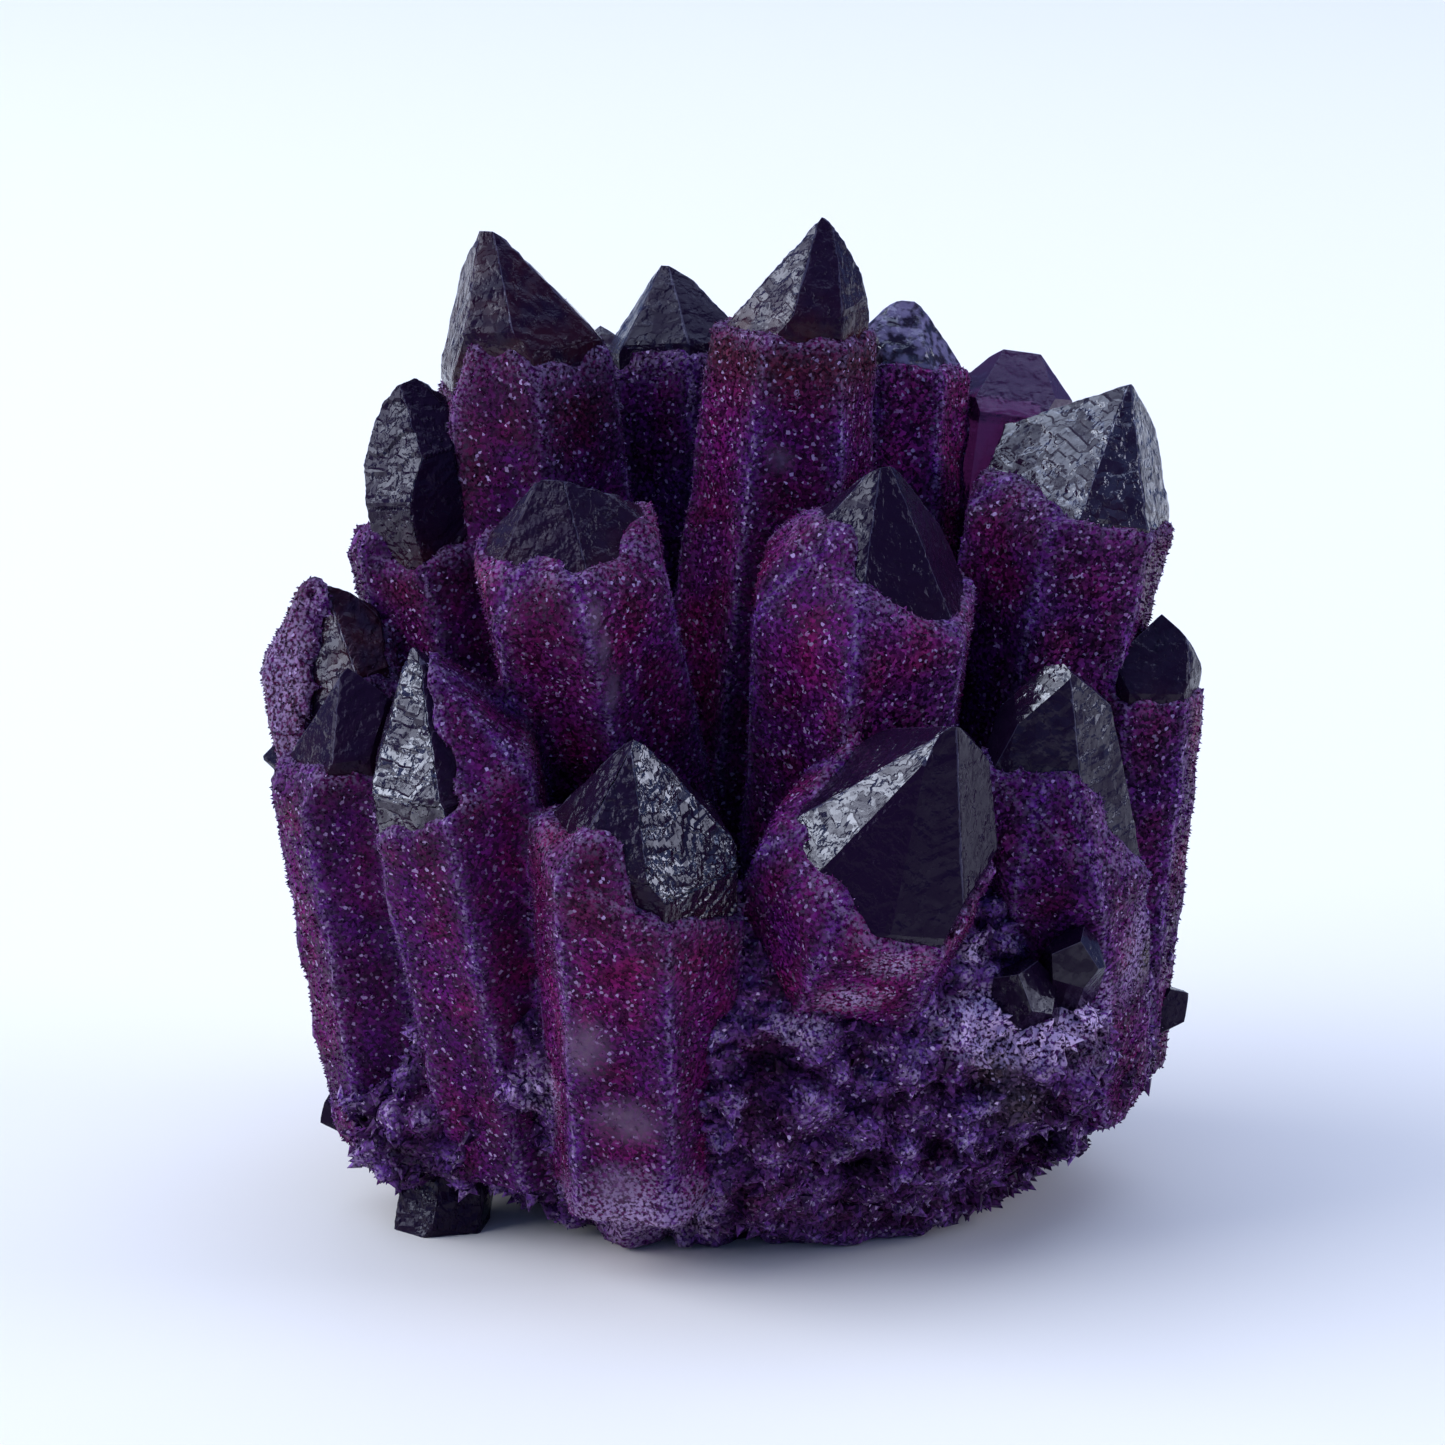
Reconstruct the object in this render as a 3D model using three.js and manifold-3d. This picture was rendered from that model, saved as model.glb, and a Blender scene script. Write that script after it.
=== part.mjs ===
// A cluster of amethyst points, grown together on one lumpy foot.
// Units are millimetres and +Z is up. The origin is on the flat cut under the foot, below the cluster's middle.
// Every crystal, its sugary coat and the foot are one piece of quartz, so they are joined in one solid.

import * as THREE from "three";
import { ConvexGeometry } from "three/addons/geometries/ConvexGeometry.js";
import { mergeVertices } from "three/addons/utils/BufferGeometryUtils.js";
import Module from "manifold-3d";

// A quartz point ends in six faces, each of them 38.2 degrees from the crystal's long axis.
const END_FACE_ANGLE = 38.2;
const SIDES = 6;

// The sugary coat on the long sides, and how far below the end faces it stops where no brim is given.
const COAT = 0.7;
const COLLAR = 0.8;

// The foot: a bowl of fused small crystals, wide above and cut flat below.
const FOOT = { middle: [2.5, 0, 22], halfSizes: [39.5, 35, 28], detail: 6 };

// The heart: the mass of the crystals' lower halves, which grew into one another.
const HEART = { middle: [0, 0, 26], halfSizes: [27, 25, 29], detail: 3 };

// The bulge at the right of the front, pale with frost.
const BULGE = { middle: [27, -22, 20], halfSizes: [9, 8, 7], detail: 2 };

// How wide and how high the lumps of these three are.
const LUMP_SIZE = 9;
const LUMP_HEIGHT = 2.6;

// The little points that stand all over the foot and the heart: how many, how thick, how far their tips stand out,
// how much they lean, how long their pointed end is as a share of the thickness, and how deep they are rooted.
const LITTLE_POINTS_ON_FOOT = 130;
const LITTLE_POINTS_ON_HEART = 40;
const LITTLE_ACROSS = [2.8, 6];
const LITTLE_REACH = [0.8, 3];
const LITTLE_LEAN = 0.9;
const LITTLE_END = 0.7;
const LITTLE_ROOT = 6;
const LITTLE_SLIM = 1.1;

// The block of space under the cut: its width, its depth and its height.
const BELOW_CUT = [200, 200, 60];

// Corners nearer to each other than this are one corner, and planes this nearly parallel have no corner.
const ONE_CORNER = 0.001;
const ON_PLANE = 0.0001;
const PARALLEL = 0.000001;

// Large uneven factors that scatter the fixed pseudo-random numbers.
const SCATTER = { x: 127.1, y: 311.7, z: 74.7, draw: 53.3, all: 43758.5453 };
const FULL_TURN = 360;

// Which of the six end faces reach the tip: the rise is how far outside the tip a face lies.
const THREE_LARGE = [0, 1.6, 0, 2.2, 0, 1.8];
const OTHER_THREE = [1.8, 0, 2.2, 0, 1.6, 0];
const CHISEL = [1.2, 0, 1.5, 1.2, 0, 1.5];

// One row for each crystal. tip is its point, neck the middle of the prism just under the end faces, and root the
// axis's lower end inside the foot. across is from one long face to the opposite one at the neck, slim is the same
// at the root as a share of it, and turn is where the first long face looks, in degrees from +X towards +Y.
// steep gives an end face its own angle to the axis. brim is the flat edge that a coat reaches when it climbs over
// the end faces or stops short of them: its height over the neck, and how much it rises towards +X and +Y.
// cap is a flat broken across the tip: a point on it, and where it looks.
const CRYSTALS = [
  // The tall ones in the middle of the cluster.
  { name: "back_left_tall", tip: [-24.5, 5, 96.5], neck: [-21.5, 5, 85.5], root: [-17, 5, 36], across: 15.5,
    slim: 1.25, turn: 10, rises: [0.6, 0, 2, 0.9, 0, 0.3], steep: { 3: 20 } },
  { name: "back_slot", tip: [-7.4, 18, 90.4], neck: [-6, 17, 81], root: [-4, 9, 36], across: 13.5, slim: 1,
    turn: 10, rises: [1.5, 0, 1, 0.3, 0.2, 0.6], steep: { 3: 32, 4: 36 } },
  { name: "middle_tall", tip: [7.8, 2, 98], neck: [5.6, 2, 87], root: [1.5, 3, 36], across: 13.2, slim: 1.4,
    turn: 38, rises: [1, 0.5, 0, 0, 0, 1.4], steep: { 2: 34, 3: 34, 5: 25 }, brim: [0.5, 0, 0] },
  { name: "back_right_chisel", tip: [18.4, 12, 88], neck: [17.2, 12, 80.5], root: [14, 6, 36], across: 10.2,
    slim: 1.2, turn: 30, rises: [0, 0, 2, 1.5, 0, 0], steep: { 3: 45, 5: 28 }, brim: [1.5, 0, 0] },
  { name: "back_right_clear", tip: [29, 16, 82], neck: [27.3, 15, 74], root: [22, 8, 36], across: 11, slim: 0.9,
    turn: 30, rises: [1.2, 0, 2, 1.4, 0, 1.2], coat: 0 },
  // The ring half way up.
  { name: "right_high", tip: [38.6, 0, 82.2], neck: [33.2, -1, 69.5], root: [25, 0, 28], across: 17.8, slim: 0.8,
    turn: 44, rises: [2, 0, 5.5, 0, 0, 0.3], steep: { 5: 26 }, brim: [1.5, -0.1, 0] },
  { name: "middle_right", tip: [14, -18, 77.3], neck: [12.4, -16.5, 63.5], root: [9, -6, 20], across: 19.2,
    slim: 0.85, turn: 53, rises: [1.5, 0.5, 1, 0.3, 0, 0.8], steep: { 5: 32 }, brim: [4.5, -0.35, 0] },
  { name: "middle_left", tip: [-18.5, -20, 77], neck: [-15.8, -19, 66.5], root: [-8, -4, 26], across: 16.5,
    slim: 0.95, turn: 10, rises: [2.5, 0, 0.5, 0.5, 0, 1.2], steep: { 0: 44, 3: 44, 4: 46, 5: 46 },
    brim: [4.5, 0, 0] },
  { name: "left_high", tip: [-33.5, 2, 81.8], neck: [-31.3, 1.5, 70], root: [-22, 2, 28], across: 10.2,
    slim: 1.05, turn: 52, rises: [1.5, 0, 1.5, 0, 0, 1.5], steep: { 2: 26, 3: 28 }, brim: [-4.5, 0, 0] },
  { name: "left_shoulder", tip: [-35.6, 2, 68.6], neck: [-35, 2, 65], root: [-28.5, 2, 34], across: 5.5, slim: 1.2,
    turn: 20, rises: OTHER_THREE, brim: [3, 0, 0] },
  // The outer ring.
  { name: "left_frosted", tip: [-40.6, -2, 62.3], neck: [-40.6, -2.5, 54], root: [-32, 0, 18], across: 12.5,
    slim: 0.9, turn: 0, rises: [1, 0, 2, 1.6, 0.3, 0], steep: { 4: 30 } },
  { name: "left_black", tip: [-38, -14, 56.9], neck: [-38.7, -13, 46.5], root: [-33.6, -9.4, 8], across: 12,
    slim: 0.9, turn: 30, rises: [0, 1.6, 0, 0.6, 0, 1.8], steep: { 3: 30 } },
  { name: "front_left", tip: [-31, -26, 61.2], neck: [-27.6, -25, 50], root: [-20.5, -16, 8], across: 15,
    slim: 0.95, turn: 58, rises: [1, 1, 0.5, 0, 0.5, 0.5], steep: { 2: 26, 3: 34, 4: 36 },
    brim: [-0.8, 0.45, 0] },
  { name: "front_middle", tip: [-9.6, -36, 54.6], neck: [-9.5, -33, 43], root: [-9, -26, 8], across: 17.5,
    slim: 0.85, turn: 16, rises: [1, 1, 1.5, 0.6, 0.4, 0], steep: { 5: 35 }, brim: [-0.6, -0.41, 0] },
  { name: "front_right", tip: [19.8, -38, 57], neck: [13.5, -33, 44], root: [5, -12, 12], across: 19.6, slim: 0.85,
    turn: 35, rises: [1, 0.4, 0.2, 0.5, 0, 0.6], steep: { 2: 36, 5: 30 }, brim: [0.5, -0.28, 0.4] },
  { name: "right_long_face", tip: [30.5, -22, 58.6], neck: [31.5, -19, 41], root: [33, -8, 12], across: 14,
    slim: 0.95, turn: 25, rises: [1, 1, 1, 0.5, 0, 1.2], steep: { 4: 28, 5: 20 }, brim: [4, -0.8, 0],
    cap: [[28, -24, 56.8], [-0.45, -0.4, 0.8]] },
  { name: "right_edge", tip: [42, -4, 59.8], neck: [40.3, -4, 51], root: [37, -2, 12], across: 10, slim: 1,
    turn: 40, rises: THREE_LARGE, steep: { 5: 25 }, brim: [1.5, 0, 0] },
  // The far side.
  { name: "far_high_left", tip: [-14, 25, 83], neck: [-12, 22, 72], root: [-7, 10, 30], across: 16, slim: 0.9,
    turn: 20, rises: THREE_LARGE },
  { name: "far_high_right", tip: [14, 27, 79], neck: [12, 24, 68], root: [7, 10, 28], across: 17, slim: 0.85,
    turn: 5, rises: OTHER_THREE, brim: [2, 0.3, 0] },
  { name: "far_left", tip: [-28, 21, 73], neck: [-26, 19, 62], root: [-17, 9, 26], across: 13, slim: 0.9,
    turn: 35, rises: OTHER_THREE },
  { name: "far_right", tip: [31, 24, 67], neck: [29, 21, 56], root: [20, 10, 16], across: 15, slim: 0.8,
    turn: 50, rises: THREE_LARGE, brim: [1, 0, 0.4] },
  { name: "far_low_left", tip: [-27, 34, 59], neck: [-24, 30, 48], root: [-15, 14, 12], across: 15, slim: 0.75,
    turn: 0, rises: CHISEL },
  { name: "far_low_middle", tip: [-4, 41, 57], neck: [-4, 36, 44], root: [-3, 16, 8], across: 18, slim: 0.7,
    turn: 25, rises: THREE_LARGE, brim: [-2, 0.4, 0] },
  { name: "far_low_right", tip: [20, 38, 60], neck: [18, 34, 48], root: [10, 15, 12], across: 16, slim: 0.75,
    turn: 10, rises: OTHER_THREE },
  { name: "right_far_low", tip: [40, 15, 51], neck: [38, 14, 42], root: [30, 8, 10], across: 11, slim: 0.9,
    turn: 15, rises: THREE_LARGE },
  { name: "left_far_low", tip: [-38, 15, 50], neck: [-36, 14, 41], root: [-28, 8, 10], across: 12, slim: 0.85,
    turn: 45, rises: CHISEL },
  { name: "far_low_gap", tip: [9, 42, 47], neck: [8, 38, 38], root: [4, 18, 8], across: 11, slim: 0.85, turn: 35,
    rises: CHISEL, brim: [0.5, -0.3, 0] },
  { name: "far_side_left", tip: [-35, 27, 44], neck: [-33, 24, 35], root: [-22, 12, 8], across: 11, slim: 0.85,
    turn: 20, rises: THREE_LARGE },
  { name: "far_side_right", tip: [33, 31, 42], neck: [31, 27, 33], root: [21, 13, 8], across: 12, slim: 0.8,
    turn: 5, rises: OTHER_THREE },
  // The lower end of the front middle crystal, which narrows to the cut, and the small ones beside the foot.
  { name: "front_middle_end", tip: [-10, -18.5, -9], neck: [-9.5, -24, 11], root: [-9.5, -28, 30], across: 15,
    slim: 1, turn: 16, rises: [0, 0, 0, 0, 0, 0], steep: { 0: 22, 1: 22, 2: 22, 3: 22, 4: 22, 5: 22 }, coat: 0 },
  { name: "stub", tip: [-33, -17.4, 2.6], neck: [-31, -16.8, 3], root: [-18, -11, 8], across: 6.6, slim: 1.1,
    turn: 20, rises: CHISEL, coat: 0 },
  { name: "left_knob", tip: [-42, -8, 8], neck: [-39.5, -7.5, 9], root: [-30, -5, 14], across: 5, slim: 1.2,
    turn: 10, rises: OTHER_THREE, coat: 0 },
  { name: "left_chip", tip: [-46, -4, 46.4], neck: [-44.5, -4, 44.5], root: [-38.5, -3, 38], across: 3.2, slim: 1.2,
    turn: 40, rises: CHISEL, coat: 0 },
  { name: "right_knob", tip: [45.6, -3, 20.2], neck: [42.5, -3, 18.2], root: [34, -2, 14], across: 4.4, slim: 1.2,
    turn: 30, rises: THREE_LARGE, coat: 0 },
  { name: "small_glossy", tip: [33, -29, 33.5], neck: [32.6, -26.5, 31], root: [31, -16, 22], across: 5.4,
    slim: 1.2, turn: 15, rises: THREE_LARGE, coat: 0 },
  { name: "small_grey", tip: [27, -30, 30.5], neck: [27.6, -27.5, 28], root: [29, -18, 20], across: 6, slim: 1.3,
    turn: 50, rises: OTHER_THREE, coat: 0 },
];

const wasm = await Module();
wasm.setup();

function solidOf(geometry) {
  const bare = geometry.clone();
  bare.deleteAttribute("normal");
  bare.deleteAttribute("uv");
  const closed = mergeVertices(bare, ON_PLANE);
  const mesh = new wasm.Mesh({
    numProp: 3,
    vertProperties: new Float32Array(closed.attributes.position.array),
    triVerts: new Uint32Array(closed.index.array),
  });
  return new wasm.Manifold(mesh);
}

// Where three planes meet, or null where two of them are nearly parallel.
function meetingPoint(a, b, c) {
  const bc = new THREE.Vector3().crossVectors(b.normal, c.normal);
  const ca = new THREE.Vector3().crossVectors(c.normal, a.normal);
  const ab = new THREE.Vector3().crossVectors(a.normal, b.normal);
  const volume = a.normal.dot(bc);
  if (Math.abs(volume) < PARALLEL) {
    return null;
  }
  return new THREE.Vector3()
    .addScaledVector(bc, -a.constant)
    .addScaledVector(ca, -b.constant)
    .addScaledVector(ab, -c.constant)
    .divideScalar(volume);
}

// The closed shape behind all of the planes, whose normals point outwards.
function shapeBehind(planes) {
  const corners = [];
  for (let i = 0; i < planes.length; i += 1) {
    for (let j = i + 1; j < planes.length; j += 1) {
      for (let k = j + 1; k < planes.length; k += 1) {
        const point = meetingPoint(planes[i], planes[j], planes[k]);
        const inside = point && planes.every((plane) => plane.distanceToPoint(point) < ON_PLANE);
        if (inside && corners.every((corner) => corner.distanceTo(point) > ONE_CORNER)) {
          corners.push(point);
        }
      }
    }
  }
  return new ConvexGeometry(corners);
}

function planeThrough(point, normal) {
  return new THREE.Plane().setFromNormalAndCoplanarPoint(normal.normalize(), point);
}

// A six-sided prism with six end faces. grow moves its long faces outwards, raise moves its end faces outwards, and
// extra planes cut it further.
function crystalGeometry(crystal, grow, raise, extra) {
  const tip = new THREE.Vector3(...crystal.tip);
  const neck = new THREE.Vector3(...crystal.neck);
  const root = new THREE.Vector3(...crystal.root);
  const axis = neck.clone().sub(root);
  const length = axis.length();
  axis.normalize();
  const right = new THREE.Vector3(1, 0, 0);
  right.addScaledVector(axis, -right.dot(axis)).normalize();
  const halfAcross = crystal.across / 2;
  const lean = (halfAcross * (1 - crystal.slim)) / length;
  const planes = [planeThrough(root, axis.clone().negate()), ...extra];
  if (crystal.cap) {
    const [onCap, facing] = crystal.cap;
    planes.push(planeThrough(new THREE.Vector3(...onCap), new THREE.Vector3(...facing)));
  }
  for (let side = 0; side < SIDES; side += 1) {
    const angle = THREE.MathUtils.degToRad(crystal.turn) + (side * 2 * Math.PI) / SIDES;
    const outward = right.clone().applyAxisAngle(axis, angle);
    const onFace = neck.clone().addScaledVector(outward, halfAcross + grow);
    planes.push(planeThrough(onFace, outward.clone().addScaledVector(axis, -lean)));
    const endAngle = THREE.MathUtils.degToRad(crystal.steep?.[side] ?? END_FACE_ANGLE);
    const endNormal = outward.clone().multiplyScalar(Math.cos(endAngle));
    endNormal.addScaledVector(axis, Math.sin(endAngle));
    const onEnd = tip.clone().addScaledVector(endNormal, crystal.rises[side] + raise);
    planes.push(planeThrough(onEnd, endNormal));
  }
  return shapeBehind(planes);
}

function brimPlane(crystal) {
  const [height, towardsX, towardsY] = crystal.brim;
  const neck = new THREE.Vector3(...crystal.neck);
  const axis = neck.clone().sub(new THREE.Vector3(...crystal.root)).normalize();
  const normal = axis.clone().add(new THREE.Vector3(-towardsX, -towardsY, 0));
  return planeThrough(neck.addScaledVector(axis, height), normal);
}

function coatedCrystal(crystal) {
  const bare = solidOf(crystalGeometry(crystal, 0, 0, []));
  if (crystal.coat === 0) {
    return bare;
  }
  if (crystal.brim) {
    return bare.add(solidOf(crystalGeometry(crystal, COAT, COAT, [brimPlane(crystal)])));
  }
  return bare.add(solidOf(crystalGeometry(crystal, COAT, -COLLAR, [])));
}

// A fixed pseudo-random number from 0 to 1 for a cell of space. Each use of it has a draw number of its own.
function cellValue(x, y, z, draw) {
  const phase = x * SCATTER.x + y * SCATTER.y + z * SCATTER.z + draw * SCATTER.draw;
  const wave = Math.sin(phase) * SCATTER.all;
  return wave - Math.floor(wave);
}

// How far a point is from the nearest of the lumps that fill space, one to a cell, as a share of the cell.
function lumpDistance(point, size) {
  const cell = point.clone().divideScalar(size).floor();
  let nearest = Infinity;
  for (let dx = -1; dx <= 1; dx += 1) {
    for (let dy = -1; dy <= 1; dy += 1) {
      for (let dz = -1; dz <= 1; dz += 1) {
        const near = cell.clone().add(new THREE.Vector3(dx, dy, dz));
        const middle = new THREE.Vector3(
          near.x + cellValue(near.x, near.y, near.z, 1),
          near.y + cellValue(near.x, near.y, near.z, 2),
          near.z + cellValue(near.x, near.y, near.z, 3),
        );
        nearest = Math.min(nearest, middle.multiplyScalar(size).distanceTo(point) / size);
      }
    }
  }
  return nearest;
}

function lumpyBall({ middle, halfSizes, detail }) {
  const ball = new THREE.IcosahedronGeometry(1, detail);
  const position = ball.attributes.position;
  const point = new THREE.Vector3();
  for (let i = 0; i < position.count; i += 1) {
    const outward = new THREE.Vector3().fromBufferAttribute(position, i);
    point.copy(outward).multiply(new THREE.Vector3(...halfSizes)).add(new THREE.Vector3(...middle));
    point.addScaledVector(outward, LUMP_HEIGHT * (0.5 - Math.min(1, lumpDistance(point, LUMP_SIZE))));
    position.setXYZ(i, point.x, point.y, point.z);
  }
  return solidOf(ball);
}

function between([low, high], share) {
  return low + (high - low) * share;
}

// One little point on a ball, standing out of it and leaning a little. The places follow a spiral round the ball.
function littlePoint(ball, index, count) {
  const up = 1 - (2 * (index + 0.5)) / count;
  const round = index * Math.PI * (3 - Math.sqrt(5));
  const ringSize = Math.sqrt(1 - up * up);
  const onBall = new THREE.Vector3(ringSize * Math.cos(round), ringSize * Math.sin(round), up);
  const surface = onBall.clone().multiply(new THREE.Vector3(...ball.halfSizes)).add(new THREE.Vector3(...ball.middle));
  const lean = new THREE.Vector3(
    cellValue(index, count, 0, 4) - 0.5,
    cellValue(index, count, 0, 5) - 0.5,
    cellValue(index, count, 0, 6) - 0.5,
  );
  const direction = onBall.addScaledVector(lean, LITTLE_LEAN).normalize();
  const across = between(LITTLE_ACROSS, cellValue(index, count, 0, 7));
  const reach = between(LITTLE_REACH, cellValue(index, count, 0, 8));
  const neckAt = reach - across * LITTLE_END;
  return {
    tip: surface.clone().addScaledVector(direction, reach).toArray(),
    neck: surface.clone().addScaledVector(direction, neckAt).toArray(),
    root: surface.clone().addScaledVector(direction, neckAt - LITTLE_ROOT).toArray(),
    across,
    slim: LITTLE_SLIM,
    turn: FULL_TURN * cellValue(index, count, 0, 9),
    rises: index % 2 === 0 ? THREE_LARGE : OTHER_THREE,
    coat: 0,
  };
}

function withLittlePoints(ball, count) {
  let solid = lumpyBall(ball);
  for (let index = 0; index < count; index += 1) {
    solid = solid.add(coatedCrystal(littlePoint(ball, index, count)));
  }
  return solid;
}

// Everything under the cut is taken off, so that the cluster stands flat.
function cutFlat(solid) {
  const below = new THREE.BoxGeometry(...BELOW_CUT);
  below.translate(0, 0, -BELOW_CUT[2] / 2);
  return solid.subtract(solidOf(below));
}

function meshOf(name, solid, material) {
  const { numProp, vertProperties, triVerts } = solid.getMesh();
  const geometry = new THREE.BufferGeometry();
  const positions = new Float32Array((vertProperties.length / numProp) * 3);
  for (let i = 0; i < positions.length / 3; i += 1) {
    positions.set(vertProperties.subarray(i * numProp, i * numProp + 3), i * 3);
  }
  geometry.setAttribute("position", new THREE.BufferAttribute(positions, 3));
  geometry.setIndex(new THREE.BufferAttribute(new Uint32Array(triVerts), 1));
  geometry.computeVertexNormals();
  const mesh = new THREE.Mesh(geometry, material);
  mesh.name = name;
  return mesh;
}

const amethyst = new THREE.MeshStandardMaterial({ color: 0x35103f, roughness: 0.45, metalness: 0 });

let cluster = withLittlePoints(FOOT, LITTLE_POINTS_ON_FOOT);
cluster = cluster.add(withLittlePoints(HEART, LITTLE_POINTS_ON_HEART));
cluster = cluster.add(lumpyBall(BULGE));
for (const crystal of CRYSTALS) {
  cluster = cluster.add(coatedCrystal(crystal));
}

const part = new THREE.Group();
part.add(meshOf("amethyst_cluster", cutFlat(cluster), amethyst));

export default part;
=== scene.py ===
import itertools
import math

import bmesh
import bpy
import numpy as np
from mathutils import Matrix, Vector


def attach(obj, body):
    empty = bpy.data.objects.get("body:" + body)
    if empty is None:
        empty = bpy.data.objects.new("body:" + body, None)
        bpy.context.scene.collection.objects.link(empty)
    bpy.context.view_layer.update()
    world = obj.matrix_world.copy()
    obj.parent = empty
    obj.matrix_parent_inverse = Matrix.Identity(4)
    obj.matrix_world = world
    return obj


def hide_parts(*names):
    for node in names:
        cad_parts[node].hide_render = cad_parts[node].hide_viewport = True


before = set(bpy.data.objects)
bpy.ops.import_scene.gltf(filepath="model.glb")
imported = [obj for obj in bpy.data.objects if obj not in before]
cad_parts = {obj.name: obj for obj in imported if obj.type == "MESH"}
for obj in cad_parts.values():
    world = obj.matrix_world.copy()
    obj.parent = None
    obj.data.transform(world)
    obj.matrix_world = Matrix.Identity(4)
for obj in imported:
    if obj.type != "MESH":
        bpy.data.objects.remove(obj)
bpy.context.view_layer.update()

# The bare points. Dark purple quartz crystals that grew side by side out of one foot, each a six-sided prism
# with six end faces. Their long sides are under the sugary coat below, so only the glassy ends show, with the
# ledges and streaks that growth left on them.
# Metres in a millimetre. The script works in millimetres until a mesh is made.
MM = 0.001
# A quartz point ends in six faces, each of them about 38.2 degrees from the crystal's long axis.
SIDES = 6
END_FACE_ANGLE = 38.2
# Which of the six end faces reach the tip: the rise is how far outside the tip a face lies.
THREE_LARGE = [0, 1.6, 0, 2.2, 0, 1.8]
OTHER_THREE = [1.8, 0, 2.2, 0, 1.6, 0]
CHISEL = [1.2, 0, 1.5, 1.2, 0, 1.5]
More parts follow.
